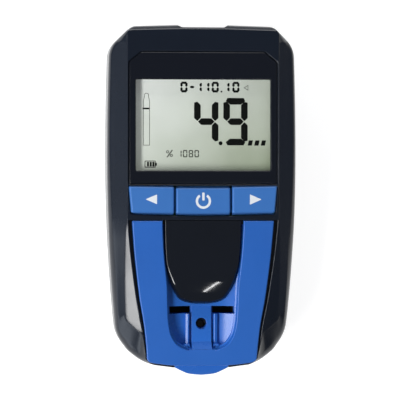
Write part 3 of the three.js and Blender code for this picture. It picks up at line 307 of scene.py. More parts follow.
def quarter(edge, steps):
    """Distance inwards and below the top at each step of a quarter round, from its foot up."""
    angles = [math.pi / 2 * step / steps for step in range(steps + 1)]
    return [(edge * (1 - math.cos(angle)), edge * (1 - math.sin(angle))) for angle in angles]


def face_at(y):
    return FACE_Z + min(0.0, y - HINGE_Y) * math.tan(DECK_ANGLE)


def skin_at(y):
    share = clamp((HINGE_Y - y) / SKIN_RAMP, 0.0, 1.0)
    return face_at(y) - lerp(WALL, DECK_SKIN, share)


def along_deck(y):
    return (y - HINGE_Y) / math.cos(DECK_ANGLE)


DECK = Matrix.Translation((0, HINGE_Y, FACE_Z)) @ Matrix.Rotation(DECK_ANGLE, 4, "X")


# Outlines


def deck_half(half):
    return [(x, along_deck(y)) for x, y in half]


def mirrored(half):
    """Full outline from its right half, which runs from the upper end to the lower end."""
    return list(half) + [(-x, y) for x, y in reversed(half)]


def turned(outline):
    """The outline counterclockwise."""
    following = outline[1:] + outline[:1]
    area = sum(x * ny - nx * y for (x, y), (nx, ny) in zip(outline, following))
    return list(outline) if area > 0 else list(reversed(outline))


def shifted(ring, distance):
    """The ring's points without its two ends, moved to the right of its run."""

    def normal(a, b):
        along = Vector((b[0] - a[0], b[1] - a[1]))
        if along.length < 1e-9:
            return None
        along.normalize()
        return Vector((along.y, -along.x))

    moved = []
    for previous, (x, y), following in zip(ring, ring[1:], ring[2:]):
        before = normal(previous, (x, y))
        after = normal((x, y), following)
        before = before or after
        after = after or before
        middle = (before + after).normalized()
        mitre = distance / max(0.5, middle.dot(before))
        moved.append((x + middle.x * mitre, y + middle.y * mitre))
    return moved


def inset(half, distance):
    """Right half moved inwards, or outwards for a negative distance."""
    return shifted([(-half[0][0], half[0][1]), *half, (-half[-1][0], half[-1][1])], distance)


def moved_in(outline, distance):
    """Closed outline moved inwards."""
    outline = turned(outline)
    return shifted([outline[-1], *outline, outline[0]], -distance)


def corner(start, tip, end, radius, steps=CORNER_STEPS):
    """Points of a rounded corner between two straight edges."""
    a = Vector((start[0] - tip[0], start[1] - tip[1])).normalized() * radius
    b = Vector((end[0] - tip[0], end[1] - tip[1])).normalized() * radius
    shares = [((1 - step / steps) ** 2, (step / steps) ** 2) for step in range(steps + 1)]
    return [(tip[0] + s * a.x + t * b.x, tip[1] + s * a.y + t * b.y) for s, t in shares]


def rounded(points, radius, steps=4):
    """Closed outline whose corners are rounded, by one radius or by one for each corner."""
    radii = radius if isinstance(radius, (list, tuple)) else [radius] * len(points)
    result = []
    for before, tip, after, here in zip(points[-1:] + points, points, points[1:] + points[:1], radii):
        result += corner(before, tip, after, here, steps)
    return result


def between(p, q, start, end, t):
    return p * ((end - t) / (end - start)) + q * ((t - start) / (end - start))


def smooth_curve(points, steps=6, close_x=False):
    """Curve through points. With close_x the last one meets its mirror image smoothly."""

    def beyond(end, before):
        return (2 * end[0] - before[0], 2 * end[1] - before[1])

    last = (-points[-1][0], points[-1][1]) if close_x else beyond(points[-1], points[-2])
    full = [Vector(p) for p in [beyond(points[0], points[1]), *points, last]]
    curve = []
    for p0, p1, p2, p3 in zip(full, full[1:], full[2:], full[3:]):
        t1 = math.sqrt((p1 - p0).length)
        t2 = t1 + math.sqrt((p2 - p1).length)
        t3 = t2 + math.sqrt((p3 - p2).length)
        for step in range(steps):
            t = lerp(t1, t2, step / steps)
            a = between(p0, p1, 0.0, t1, t)
            b = between(p1, p2, t1, t2, t)
            c = between(p2, p3, t2, t3, t)
            place = between(between(a, b, 0.0, t2, t), between(b, c, t1, t3, t), t1, t2, t)
            curve.append((place.x, place.y))
    curve.append(tuple(points[-1]))
    return curve


def spread(points, count):
    """Points at even steps along a polyline."""
    lengths = [0.0]
    for a, b in zip(points, points[1:]):
        lengths.append(lengths[-1] + math.dist(a, b))
    result = []
    for step in range(count):
        goal = lengths[-1] * step / (count - 1)
        index = next((i for i in range(len(points) - 2) if lengths[i + 1] >= goal), len(points) - 2)
        share = (goal - lengths[index]) / max(1e-9, lengths[index + 1] - lengths[index])
        result.append(lerp_point(points[index], points[index + 1], share))
    return result


def rect(x0, x1, y0, y1):
    return [(x0, y0), (x1, y0), (x1, y1), (x0, y1)]


def circle(x, y, radius, sides=48):
    angles = [2 * math.pi * i / sides for i in range(sides)]
    return [(x + radius * math.cos(angle), y + radius * math.sin(angle)) for angle in angles]


# Solids, as (points, faces) in millimetres


def walls(rows, count, downwards=False):
    """Quads between rows of points. Each row closes on itself."""
    faces = []
    for row in range(rows - 1):
        for turn in range(count):
            a = row * count + turn
            b = row * count + (turn + 1) % count
            faces.append((a, a + count, b + count, b) if downwards else (a, b, b + count, a + count))
    return faces


def at(half, height):
    return [(x, y, height(x, y) if callable(height) else height) for x, y in half]


def loft(rings):
    """Closed body through half rings of (x, y, z), from the lowest ring to the highest."""
    count = len(rings[0])
    around = 2 * count
    points = []
    for ring in rings:
        points += [tuple(p) for p in ring]
        points += [(-x, y, z) for x, y, z in reversed(ring)]
    faces = walls(len(rings), around, True)
    top = (len(rings) - 1) * around
    for step in range(count - 1):
        left = around - 1 - step
        faces.append((step, step + 1, left - 1, left))
        faces.append((top + left, top + left - 1, top + step + 1, top + step))
    return points, faces


def layered(half, levels):
    """Closed body through insets of a right half, as (distance, z) pairs from the lowest up."""
    return loft([at(inset(half, distance), z) for distance, z in levels])


def prism(levels):
    """Closed body through full outlines at heights, as (outline, z) pairs from the lowest up."""
    count = len(levels[0][0])
    points = [(x, y, z) for outline, z in levels for x, y in turned(outline)]
    top = (len(levels) - 1) * count
    faces = walls(len(levels), count)
    faces.append(tuple(reversed(range(count))))
    faces.append(tuple(range(top, top + count)))
    return points, faces


def plate(outline, z0, z1):
    return prism([(outline, z0), (outline, z1)])


def box(x0, x1, y0, y1, z0, z1):
    return plate(rect(x0, x1, y0, y1), z0, z1)


def slab(half, y0, y1, z0, z1):
    return box(-half, half, y0, y1, z0, z1)


def twin_boxes(x0, x1, y0, y1, z0, z1):
    """The same box on the left and on the right."""
    return [box(*sorted((side * x0, side * x1)), y0, y1, z0, z1) for side in (-1, 1)]


def post(x, y, radius, z0, z1, sides=48):
    return plate(circle(x, y, radius, sides), z0, z1)


def posts(spots, *sizes):
    return [post(x, y, *sizes) for x, y in spots]


def strip(columns, profile, z0):
    """Strip down the deck whose top follows a profile of (y, z), with a section of (x, lift)."""
    points = []
    for y, z in profile:
        points += [(x, along_deck(y), z + lift) for x, lift in columns]
        points += [(x, along_deck(y), z0) for x in (columns[-1][0], columns[0][0])]
    count = len(columns) + 2
    last = (len(profile) - 1) * count
    faces = walls(len(profile), count, True)
    return points, faces + [tuple(range(count)), tuple(reversed(range(last, last + count)))]


def rounded_rim(outline_at, z0, z1, edge, steps=5):
    """Levels of a body whose upper rim is rounded. outline_at gives its outline moved in."""
    return [(outline_at(0), z0)] + [(outline_at(into), z1 - drop) for into, drop in quarter(edge, steps)]


def soft_box(x0, x1, y0, y1, z0, z1, radius, edge):
    """Box with rounded upright edges and a rounded upper rim."""

    def outline(into):
        return rounded(rect(x0 + into, x1 - into, y0 + into, y1 - into), radius, 5)

    return prism(rounded_rim(outline, z0, z1, edge, 4))


def flared(outline_at, z0, z1, flare, steps=3):
    """Cutter that opens out at the surface z1, so the rim it leaves is rounded."""
    levels = [(outline_at(0), z0)]
    levels += [(outline_at(out), z1 - drop) for out, drop in quarter(flare, steps)]
    return prism(levels + [(levels[-1][0], z1 + REACH)])


def merged(shapes):
    points = []
    faces = []
    for shape_points, shape_faces in shapes:
        base = len(points)
        points += shape_points
        faces += [tuple(base + index for index in face) for face in shape_faces]
    return points, faces


# Blender objects


def in_scene(name, data):
    obj = bpy.data.objects.new(name, data)
    bpy.context.scene.collection.objects.link(obj)
    return obj


def as_object(shape, name="solid"):
    if not isinstance(shape, tuple):
        return shape
    points, faces = shape
    mesh = bpy.data.meshes.new(name)
    mesh.from_pydata(points, [], faces)
    mesh.update()
    return in_scene(name, mesh)


def on_deck(shape):
    """The body moved from the deck's plane to its place in the case."""
    obj = as_object(shape)
    obj.data.transform(DECK)
    return obj


def combined(base, others, operation):
    """Applies one boolean for each of the others to the base, and removes them."""
    base = as_object(base)
    tools = [as_object(other) for other in others]
    for tool in tools:
        modifier = base.modifiers.new("combine", "BOOLEAN")
        modifier.operation = operation
        modifier.solver = "MANIFOLD"
        modifier.object = tool
    bpy.context.view_layer.update()
    graph = bpy.context.evaluated_depsgraph_get()
    old = base.data
    solved = bpy.data.meshes.new_from_object(base.evaluated_get(graph))
    base.modifiers.clear()
    base.data = solved
    bpy.data.meshes.remove(old)
    for tool in tools:
        mesh = tool.data
        bpy.data.objects.remove(tool)
        bpy.data.meshes.remove(mesh)
    return base


def joined(base, *others):
    return combined(base, others, "UNION")


def cut_by(base, *others):
    return combined(base, others, "DIFFERENCE")


def bevelled(obj, width, angle):
    edges = obj.modifiers.new("edges", "BEVEL")
    edges.width = width * MM
    edges.segments = 2
    edges.limit_method = "ANGLE"
    edges.angle_limit = math.radians(angle)
    return edges


replaced = set()


def piece(shape, name, body, material, replaces=(), angle=32.0, bevel=0.0):
    """Finishes a piece in millimetres: scale, material, shading, and its place in the frame."""
    obj = as_object(shape)
    obj.name = name
    obj.data.name = name
    obj.data.transform(Matrix.Scale(MM, 4))
    obj.data.materials.clear()
    obj.data.materials.append(material)
    if bevel:
        bevelled(obj, bevel, 38).miter_outer = "MITER_ARC"
    obj.data.shade_smooth()
    obj.data.set_sharp_from_angle(angle=math.radians(angle))
    weighted = obj.modifiers.new("normals", "WEIGHTED_NORMAL")
    weighted.keep_sharp = True
    weighted.weight = 60
    if replaces:
        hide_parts(*replaces)
        replaced.update(replaces)
    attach(obj, body)


# Materials


class Tree:
    """A material's node tree with short calls for its nodes."""

    def __init__(self, name):
        self.material = bpy.data.materials.new(name)
        self.material.use_nodes = True
        self.tree = self.material.node_tree
        self.tree.nodes.clear()
        self.place = self.node("TexCoord").outputs["Object"]

    def node(self, kind, inputs=None, **settings):
        """New node, whose inputs, by name or number, are linked or set."""
        node = self.tree.nodes.new("ShaderNode" + kind)
        for name, value in settings.items():
            setattr(node, name, value)
        for key, value in (inputs or {}).items():
            socket = node.inputs[key]
            if isinstance(value, bpy.types.NodeSocket):
                self.tree.links.new(value, socket)
            else:
                socket.default_value = (*value, 1.0) if socket.type == "RGBA" else value
        return node

    def noise(self, scale, detail=2.0, rough=0.5, squeeze=None):
        source = self.place
        if squeeze:
            source = self.node("Mapping", {"Vector": source, "Scale": squeeze}).outputs["Vector"]
        inputs = {"Vector": source, "Scale": scale, "Detail": detail, "Roughness": rough}
        return self.node("TexNoise", inputs).outputs["Fac"]

    def span(self, value, low, high, out_low=0.0, out_high=1.0):
        inputs = {"Value": value, "From Min": low, "From Max": high, "To Min": out_low, "To Max": out_high}
        return self.node("MapRange", inputs).outputs["Result"]

    def math(self, operation, a, b):
        return self.node("Math", {0: a, 1: b}, operation=operation).outputs["Value"]

    def mix(self, factor, a, b):
        return self.node("Mix", {"Factor": factor, 6: a, 7: b}, data_type="RGBA").outputs[2]

    def mix_shader(self, factor, a, b):
        return self.node("MixShader", {0: factor, 1: a.outputs[0], 2: b.outputs[0]})

    def bump(self, height, strength, distance):
        inputs = {"Strength": strength, "Distance": distance, "Height": height}
        return self.node("Bump", inputs).outputs["Normal"]

    def edge(self, radius):
        """One along edges, and nothing further than the radius from them."""
        bevel = self.node("Bevel", {"Radius": radius}, samples=4).outputs["Normal"]
        plain = self.node("NewGeometry").outputs["Normal"]
        dot = self.node("VectorMath", {0: bevel, 1: plain}, operation="DOT_PRODUCT")
        return self.span(dot.outputs["Value"], 0.985, 0.90)

    def finish(self, shader):
        self.node("OutputMaterial", {"Surface": shader.outputs[0]})
        return self.material


def scaled(color, factor):
    return tuple(clamp(c * factor, 0.0, 1.0) for c in color)


def plastic(
    name,
    color,
    rough,
    grain=0.12,
    grain_scale=2600.0,
    tint=0.08,
    specular=0.5,
    metal=0.0,
    wear_and_highlight=0.35,
    smudge=0.05,
    streak=None,
):
    """Plastic or metal of cloudy colour and uneven gloss, with a fine grain and paler edges, partly wear and
    partly a painted highlight.
    """
    t = Tree(name)
    broad = t.span(t.noise(38.0, 3.0, 0.55), 0.3, 0.7)
    fine = t.noise(420.0, 4.0, 0.6, streak)
    base = t.mix(broad, scaled(color, 1 - tint), scaled(color, 1 + tint))
    base = t.mix(t.span(fine, 0.35, 0.65, 0.0, 0.5), base, scaled(color, 1 + 0.6 * tint))
    matt = t.span(t.noise(120.0, 5.0, 0.65), 0.3, 0.7, rough - smudge, rough + smudge)
    # Paler, rougher edges: partly rubbed wear and partly a painted highlight along the edges.
    if wear_and_highlight:
        rubbed_and_highlight = t.span(t.noise(900.0, 3.0, 0.6), 0.4, 0.62, 0.1, wear_and_highlight)
        edge_wear_and_highlight = t.math("MULTIPLY", t.edge(EDGE_WEAR_AND_HIGHLIGHT), rubbed_and_highlight)
        base = t.mix(edge_wear_and_highlight, base, tuple(lerp(c, 0.35, 0.25) for c in color))
        matt = t.math("ADD", matt, t.math("MULTIPLY", edge_wear_and_highlight, 0.15))
    height = t.math("ADD", t.noise(grain_scale, 2.0, 0.5), t.math("MULTIPLY", fine, 0.1))
    inputs = {
        "Base Color": base,
        "Roughness": matt,
        "Normal": t.bump(height, grain, 0.00003),
        "Metallic": metal,
        "Specular IOR Level": specular,
    }
    return t.finish(t.node("BsdfPrincipled", inputs))


def display_material():
    """Pale reflective display, greener towards the lower right and darker there as painted shade, with a
    faint painted glow.
    """
    t = Tree("display_sheet")
    split = t.node("SeparateXYZ", {"Vector": t.place})
    across = t.span(split.outputs["X"], -VIEW_HALF_X * MM, VIEW_HALF_X * MM)
    down = t.span(split.outputs["Y"], (VIEW_Y + VIEW_HALF_Y) * MM, (VIEW_Y - VIEW_HALF_Y) * MM)
    share = t.math("ADD", t.math("MULTIPLY", across, 0.52), t.math("MULTIPLY", down, 0.48))
    share = t.math("ADD", share, t.span(t.noise(60.0), 0.3, 0.7, -0.06, 0.06))
    # Darker towards the lower right: painted shade of light from the upper left. The greener tone there is
    # the display's own.
    base = t.mix(share, (0.93, 0.955, 0.925), (0.335, 0.385, 0.268))
    fibre = t.noise(5200.0, 2.0, 0.6)
    grainy = t.mix(t.span(fibre, 0.35, 0.65, 0.0, 0.07), base, (0.2, 0.22, 0.18))
    inputs = {
        "Base Color": grainy,
        # The emission is a painted glow that makes the display brighter than the lamps light it.
        "Emission Color": grainy,
        "Emission Strength": 0.12,
        "Roughness": t.span(fibre, 0.3, 0.7, 0.42, 0.55),
        "Normal": t.bump(fibre, 0.05, 0.00001),
        "Specular IOR Level": 0.3,
    }
    return t.finish(t.node("BsdfPrincipled", inputs))


def window_material():
    """Thin clear window: it lets the display through and mirrors more at flat angles."""
    t = Tree("clear_window")
    haze = t.noise(90.0, 3.0, 0.6)
    tone = t.mix(t.span(haze, 0.3, 0.7), (0.965, 0.97, 0.965), (0.985, 0.99, 0.985))
    clear = t.node("BsdfTransparent", {"Color": tone})
    ripple = t.bump(t.noise(700.0), 0.02, 0.00001)
    shine = t.node("BsdfGlossy", {"Roughness": t.span(haze, 0.3, 0.7, 0.03, 0.07), "Normal": ripple})
    grazing = t.math("POWER", t.node("LayerWeight", {"Blend": 0.5}).outputs["Facing"], 5.0)
    mirror = t.math("ADD", t.math("MULTIPLY", grazing, 1 - WINDOW_MIRROR), WINDOW_MIRROR)
    return t.finish(t.mix_shader(mirror, clear, shine))


def floor_material():
    """White to the camera and in reflections, with the object's soft shadow kept."""
    t = Tree("pale_floor")
    fleck = t.span(t.noise(35.0, 3.0, 0.5), 0.3, 0.7)
    diffuse = t.node("BsdfDiffuse", {"Color": t.mix(fleck, (0.44, 0.44, 0.44), (0.47, 0.47, 0.47))})
    glow = t.node("Emission", {"Strength": FLOOR_GLOW})
    path = t.node("LightPath").outputs
    seen = t.math("MAXIMUM", path["Is Camera Ray"], path["Is Glossy Ray"])
    seen = t.math("MAXIMUM", seen, path["Is Transmission Ray"])
    both = t.node("AddShader", {0: diffuse.outputs[0], 1: glow.outputs[0]})
    return t.finish(t.mix_shader(seen, diffuse, both))


mat_case = plastic(
    "case_navy", (0.0066, 0.0105, 0.0195), 0.22, grain=0.06, specular=0.42, wear_and_highlight=0.06, smudge=0.025
)
mat_rear = plastic("rear_navy", (0.0095, 0.0120, 0.0185), 0.45, grain=0.3, grain_scale=1700.0, tint=0.1)
mat_bezel = plastic("bezel_gloss", (0.0045, 0.0062, 0.0115), 0.15, grain=0.03, tint=0.06, smudge=0.02)
mat_window = window_material()
mat_display = display_material()
mat_ink = plastic(
    "display_ink", (0.0035, 0.0045, 0.0035), 0.6, grain=0.05, tint=0.15, specular=0.05, wear_and_highlight=0.0
)
mat_faint = plastic(
    "display_faint_ink", (0.045, 0.05, 0.038), 0.5, grain=0.05, tint=0.1, specular=0.2, wear_and_highlight=0.0
)
mat_key = plastic(
    "key_blue", (0.043, 0.172, 0.505), 0.40, grain=0.10, tint=0.05, specular=0.45, smudge=0.03
)
mat_mark = plastic("key_mark_white", (0.80, 0.83, 0.87), 0.5, grain=0.05, tint=0.03, wear_and_highlight=0.0)
mat_frame = plastic(
    "frame_blue", (0.0205, 0.128, 0.500), 0.36, grain=0.10, tint=0.04, specular=0.45, smudge=0.03
)
# The tray's blue is a lighter copy of the frame's blue: painted light, so that the tray's lip looks lit.
mat_tray = plastic(
    "tray_blue", (0.0255, 0.147, 0.560), 0.27, grain=0.06, tint=0.04, specular=0.34, smudge=0.03
)
mat_tongue = plastic("tongue_gloss", (0.0060, 0.0080, 0.0130), 0.055, grain=0.004, smudge=0.01)
mat_sensor = plastic("sensor_dark", (0.006, 0.008, 0.010), 0.2, grain=0.03, tint=0.1, smudge=0.03)
mat_pale = plastic("holder_pale", (0.62, 0.62, 0.58), 0.55, tint=0.05)
mat_zebra = plastic("contact_strip_grey", (0.22, 0.23, 0.24), 0.8, grain=0.4, tint=0.12)
mat_board = plastic("board_green", (0.012, 0.115, 0.05), 0.42, grain=0.35, grain_scale=1500.0, tint=0.18)
mat_chip = plastic("chip_black", (0.012, 0.0125, 0.0135), 0.55, grain=0.3, tint=0.12)
mat_steel = plastic(
    "contact_steel", (0.52, 0.53, 0.54), 0.27, grain=0.1, tint=0.06, metal=1.0, streak=(1, 12, 1)
)
mat_screw = plastic("screw_steel", (0.42, 0.43, 0.45), 0.3, grain=0.15, metal=1.0)
mat_cell = plastic(
    "cell_wrap", (0.11, 0.135, 0.16), 0.3, grain=0.04, tint=0.06, metal=0.3, streak=(6, 1, 6)
)
mat_rubber = plastic("foot_rubber", (0.018, 0.018, 0.019), 0.8, grain=0.6, grain_scale=1400.0, tint=0.15)


# Outlines shared by the pieces, as shares of the way down and of the half width


def shaped(shape, half, top, bottom, close_x=False):
    points = [(share * half, top + along * (bottom - top)) for along, share in shape]
    return smooth_curve(points, 6, close_x)


FRAME_SIDE = shaped(
    [(0, 1), (0.23, 0.963), (0.42, 0.919), (0.56, 0.881), (0.72, 0.825), (0.85, 0.795), (0.95, 0.777)],
    FRAME_HALF,
    FRAME_TOP,
    FRAME_BOTTOM,
)
RECESS = shaped(
    [(0, 1), (0.25, 0.957), (0.51, 0.872), (0.65, 0.858), (0.8, 0.825)]
    + [(0.89, 0.75), (0.955, 0.6), (0.99, 0.38), (1, 0.14)],
    RECESS_HALF,
    FRAME_TOP,
    RECESS_BOTTOM,
    True,
)
TONGUE = shaped(
    [(0, 1), (0.22, 0.99), (0.42, 0.965), (0.6, 0.915), (0.76, 0.815)]
    + [(0.88, 0.68), (0.94, 0.585), (0.98, 0.41), (1, 0.15)],
    TONGUE_HALF,
    FRAME_TOP,
    TONGUE_BOTTOM,
    True,
)
TRAY_OUTLINE = [(RECESS_HALF, TRAY_TOP)] + [p for p in RECESS[1:] if p[1] < TRAY_TOP]


def frame_half_at(y):
    if y >= FRAME_SIDE[0][1]:
        return FRAME_SIDE[0][0]
    for (x0, y0), (x1, y1) in zip(FRAME_SIDE, FRAME_SIDE[1:]):
        if y1 <= y <= y0:
            return lerp(x0, x1, (y0 - y) / (y0 - y1))
    return FRAME_SIDE[-1][0]


def groove_at(y):
    return lerp(GROOVE_WIDTH, GROOVE_END, (FRAME_TOP - y) / (FRAME_TOP - FRAME_BOTTOM))


def side_at(y):
    bow = UPPER_BOW if y > WIDEST_Y else LOWER_BOW
    return HALF_WIDTH - bow * (y - WIDEST_Y) ** 2


def crease_at(y):
    share = clamp((HINGE_Y - y) / (HINGE_Y - 1.25 * FACET_END), 0.0, 1.0)
    return FACE_HALF + CREASE_WIDTH + FACET_SWELL * math.sin(math.pi * share)


def land_at(y):
    if y >= HINGE_Y:
        return FACE_HALF
    return min(FACE_HALF, frame_half_at(y) + groove_at(y) + CREASE_WIDTH)


def case_stations():
    """Matching points of the case outline, the shoulder's crease and the edge of the face."""
    steps = CORNER_STEPS
    cut_y = TOP_END - TOP_CUT
    low_x, low_y = BOTTOM_HALF, BOTTOM_END + BOTTOM_FALL
    side_ys = [lerp(cut_y - 5, HINGE_Y, step / SIDE_STEPS) for step in range(SIDE_STEPS + 1)]
    lower = (HINGE_Y - SKIN_RAMP, FACET_END + 2.4)
    side_ys += [lerp(*lower, step / SIDE_STEPS) for step in range(SIDE_STEPS + 1)]
    last_y = side_ys[-1]

    side_tip = (side_at(low_y + BOTTOM_CUT), low_y + BOTTOM_CUT)
    middle = lerp_point(side_tip, (low_x, low_y), 0.5)
    middle = (middle[0] + BOTTOM_BULGE, middle[1] - BOTTOM_BULGE)
    top_tip = (TOP_HALF, TOP_END - TOP_FALL)
    cut_tip = (side_at(cut_y), cut_y)
    outer = [(NOTCH_HALF, TOP_END)]
    outer += corner((NOTCH_HALF, TOP_END), top_tip, cut_tip, TOP_ROUND)
    outer += corner(top_tip, cut_tip, (side_at(side_ys[0]), side_ys[0]), CORNER_ROUND)
    outer += [(side_at(y), y) for y in side_ys]
    outer += corner((side_at(last_y), last_y), side_tip, middle, LOW_ROUND)
    outer += spread([outer[-1], middle, lerp_point(middle, (low_x, low_y), 0.35)], 7)[1:]
    outer += corner(middle, (low_x, low_y), (LIP_ROOT / 2, BOTTOM_END), BOTTOM_ROUND)
    outer += [(LIP_ROOT / 2, BOTTOM_END)]

    def upper_face(rim):
        start = (NOTCH_HALF, TOP_END - SHOULDER_END + rim)
        tip = (FACE_HALF + rim, TOP_END - SHOULDER_END - TOP_FALL + rim)
        points = [start] + corner(start, tip, (FACE_HALF + rim, cut_y), FACE_ROUND)
        shares = [step / steps for step in range(steps + 1)]
        return points + [(FACE_HALF + rim, cut_y + lerp(0.5, -0.5, s) * CORNER_ROUND) for s in shares]

    def low_face(rim):
        return [
            (low_x - 1.0 + rim, low_y + 1.9),
            (low_x - 1.3 + rim, low_y + 1.2 - rim),
            (low_x - 2.2 + rim, low_y + 0.7 - rim),
        ]

    def low_end(start, rim):
        return spread([start] + low_face(rim), steps + 2)[1:] + [(LIP_ROOT / 2, BOTTOM_END + 1.6 - rim)]

    crease = upper_face(CREASE_WIDTH) + [(crease_at(y), y) for y in side_ys]
    facet_tip = (crease_at(FACET_END), FACET_END)
    crease += corner(crease[-1], facet_tip, (land_at(FACET_LOW), FACET_LOW), 2.2)
    tail = (land_at(FACET_LOW) + CREASE_WIDTH, FACET_LOW - 0.4)
    crease += spread([crease[-1], tail], 7)[1:]
    crease += low_end(tail, CREASE_WIDTH)
    land_ys = side_ys + [lerp(last_y, FACET_END - 2, (i + 1) / (steps + 1)) for i in range(steps + 1)]
    land_ys += [lerp(FACET_END - 2, FACET_LOW, (i + 1) / 6) for i in range(6)]
    land = upper_face(0) + [(land_at(y), y) for y in land_ys]
    land += low_end(land[-1], 0)
    return outer, crease, land


OUTER, CREASE, LAND = case_stations()


# Case front

# Profile of the sloped shoulder: share of the way to the crease, and depth in shares of the edge's
# height under the shoulder's lower edge. The upper half of the case has the tighter edge.
SHOULDER = smooth_curve([(0.0, 2.0), (0.035, 1.0), (0.13, 0.5), (0.26, 0.13), (0.42, -0.18)], 5)
TIGHT_SHOULDER = smooth_curve([(0.0, 2.0), (0.019, 1.0), (0.0715, 0.57), (0.143, 0.30), (0.42, -0.18)], 5)
TIGHT_FROM = -25
TIGHT_TO = 30
SLOPE_STEPS = (0.3, 0.6, 0.85, 0.96)
# Facet: share of the way from the crease to the face, and share of the rise
FACET_STEPS = ((0.06, 0.10), (0.15, 0.21), (0.3, 0.36), (0.92, 0.945), (1.0, 1.0))


def blended(share, near=OUTER, far=CREASE):
    return [lerp_point(a, b, share) for a, b in zip(near, far)]


def shoulder_at(index):
    wide = math.dist(OUTER[index], CREASE[index])
    share = smoothstep(wide, SHOULDER_END, SHOULDER_WIDE - CREASE_WIDTH)
    return lerp(NARROW_DROP, SHOULDER_DROP, share)


def facet_drop(index):
    """How far the crease beside the frame is lowered, so that the facet keeps its slope as it widens."""
    width = math.dist(CREASE[index], LAND[index])
    beside = smoothstep(HINGE_Y - CREASE[index][1], 0, FACET_FADE)
    return FACET_SLOPE * max(0.0, width - CREASE_WIDTH) * beside


def crease_height(index):
    return face_at(CREASE[index][1]) - CREASE_DROP - facet_drop(index)


def front_outer():
    def height(index, edge):
        """Height of the shoulder at a depth given in shares of the edge's height."""
        drop = shoulder_at(index) + facet_drop(index)
        return face_at(CREASE[index][1]) - (drop + edge * EDGE_DROP)

    def ring(outline, height_at):
        return [(x, y, height_at(index)) for index, (x, y) in enumerate(outline)]

    rings = [at(OUTER, FRONT_Z)]
    for wide, tight in zip(SHOULDER, TIGHT_SHOULDER):
        uppers = [smoothstep(y, TIGHT_FROM, TIGHT_TO) for _, y in CREASE]
        shares = [lerp(wide[0], tight[0], upper) for upper in uppers]
        outline = [lerp_point(a, b, share) for a, b, share in zip(OUTER, CREASE, shares)]
        rings.append(ring(outline, lambda index: height(index, lerp(wide[1], tight[1], uppers[index]))))
    last_share, last_edge = SHOULDER[-1]
    for along in SLOPE_STEPS:
        outline = blended(lerp(last_share, 1.0, along))
        rings.append(ring(outline, lambda index: lerp(height(index, last_edge), crease_height(index), along)))
    rings.append(ring(CREASE, crease_height))
    for share, lift in FACET_STEPS:
        outline = blended(share, CREASE, LAND)
        rings.append(ring(outline, lambda index: lerp(crease_height(index), face_at(LAND[index][1]), lift)))
    return loft(rings)


def front_inner():
    def low(share, distance, depth):
        ring = []
        for index, (x, y) in enumerate(inset(blended(share), distance)):
            station = CREASE[index][1]
            ring.append((x, y, min(face_at(station) - depth - facet_drop(index), skin_at(station) - 0.4)))
        return ring

    return loft(
        [
            at(inset(OUTER, WALL), FRONT_Z - 1),
            low(0.05, WALL, SHOULDER_DROP + EDGE_DROP + 0.3),
            low(0.2, WALL, SHOULDER_DROP + 0.5 * EDGE_DROP + 0.7),
            low(0.42, 0.9 * WALL, SHOULDER_DROP + 1.2),
            at(inset(CREASE, 0.6 * WALL), lambda x, y: skin_at(y)),
        ]
    )


def bezel_outline(rim):
    half = FACE_HALF - CREASE_WIDTH - GAP
    points = [
        (half - BEZEL_CUT_WIDE + rim / 2, BEZEL_TOP + rim),
        (half + rim, BEZEL_TOP - BEZEL_CUT_TALL + rim / 2),
        (half + rim, BEZEL_BOTTOM - rim),
    ]
    return rounded(mirrored(points), 0.7)


def key_opening(rim):
    half = KEY_ROW_HALF + KEY_CLEAR + rim
    high = KEY_HALF + KEY_CLEAR + rim
    return rounded(mirrored([(half, high), (half - KEY_TAPER, -high), (POWER_HALF, -high - KEY_BOW)]), 0.8)


def pocket_outline(rim):
    sides = [(x + groove_at(y) + rim, y) for x, y in FRAME_SIDE]
    sides[0] = (sides[0][0], sides[0][1] + GAP + rim)
    end = sides[-1]
    top = corner((0, sides[0][1]), sides[0], sides[1], 0.8, 4)
    return mirrored(deck_half(top + sides[1:] + [(end[0], end[1] - REACH)]))


def around_tray(distance, clearance=0.0):
    limit = TRAY_TOP + TRAY_WALL + clearance
    moved = inset(TRAY_OUTLINE, -(distance + clearance))
    return mirrored(deck_half([(x, min(y, limit)) for x, y in moved]))


def top_notch():
    edge = TOP_END - NOTCH_DEPTH
    run = [(-0.6, 0.0), (-0.1, 0.05), (0.9, 0.5), (3.0, 2.2)]
    half = smooth_curve([(NOTCH_HALF + x, edge + y) for x, y in run], 4)
    return plate(mirrored(list(reversed(half))), PART_Z - NOTCH_BELOW, FACE_Z + REACH)


def port_cutter():
    top = PORT_Z + PORT_HEIGHT + GAP
    return slab(PORT_HALF + 2 * GAP, TOP_END - PORT_LENGTH, TOP_END + REACH, PORT_Z - GAP, top)


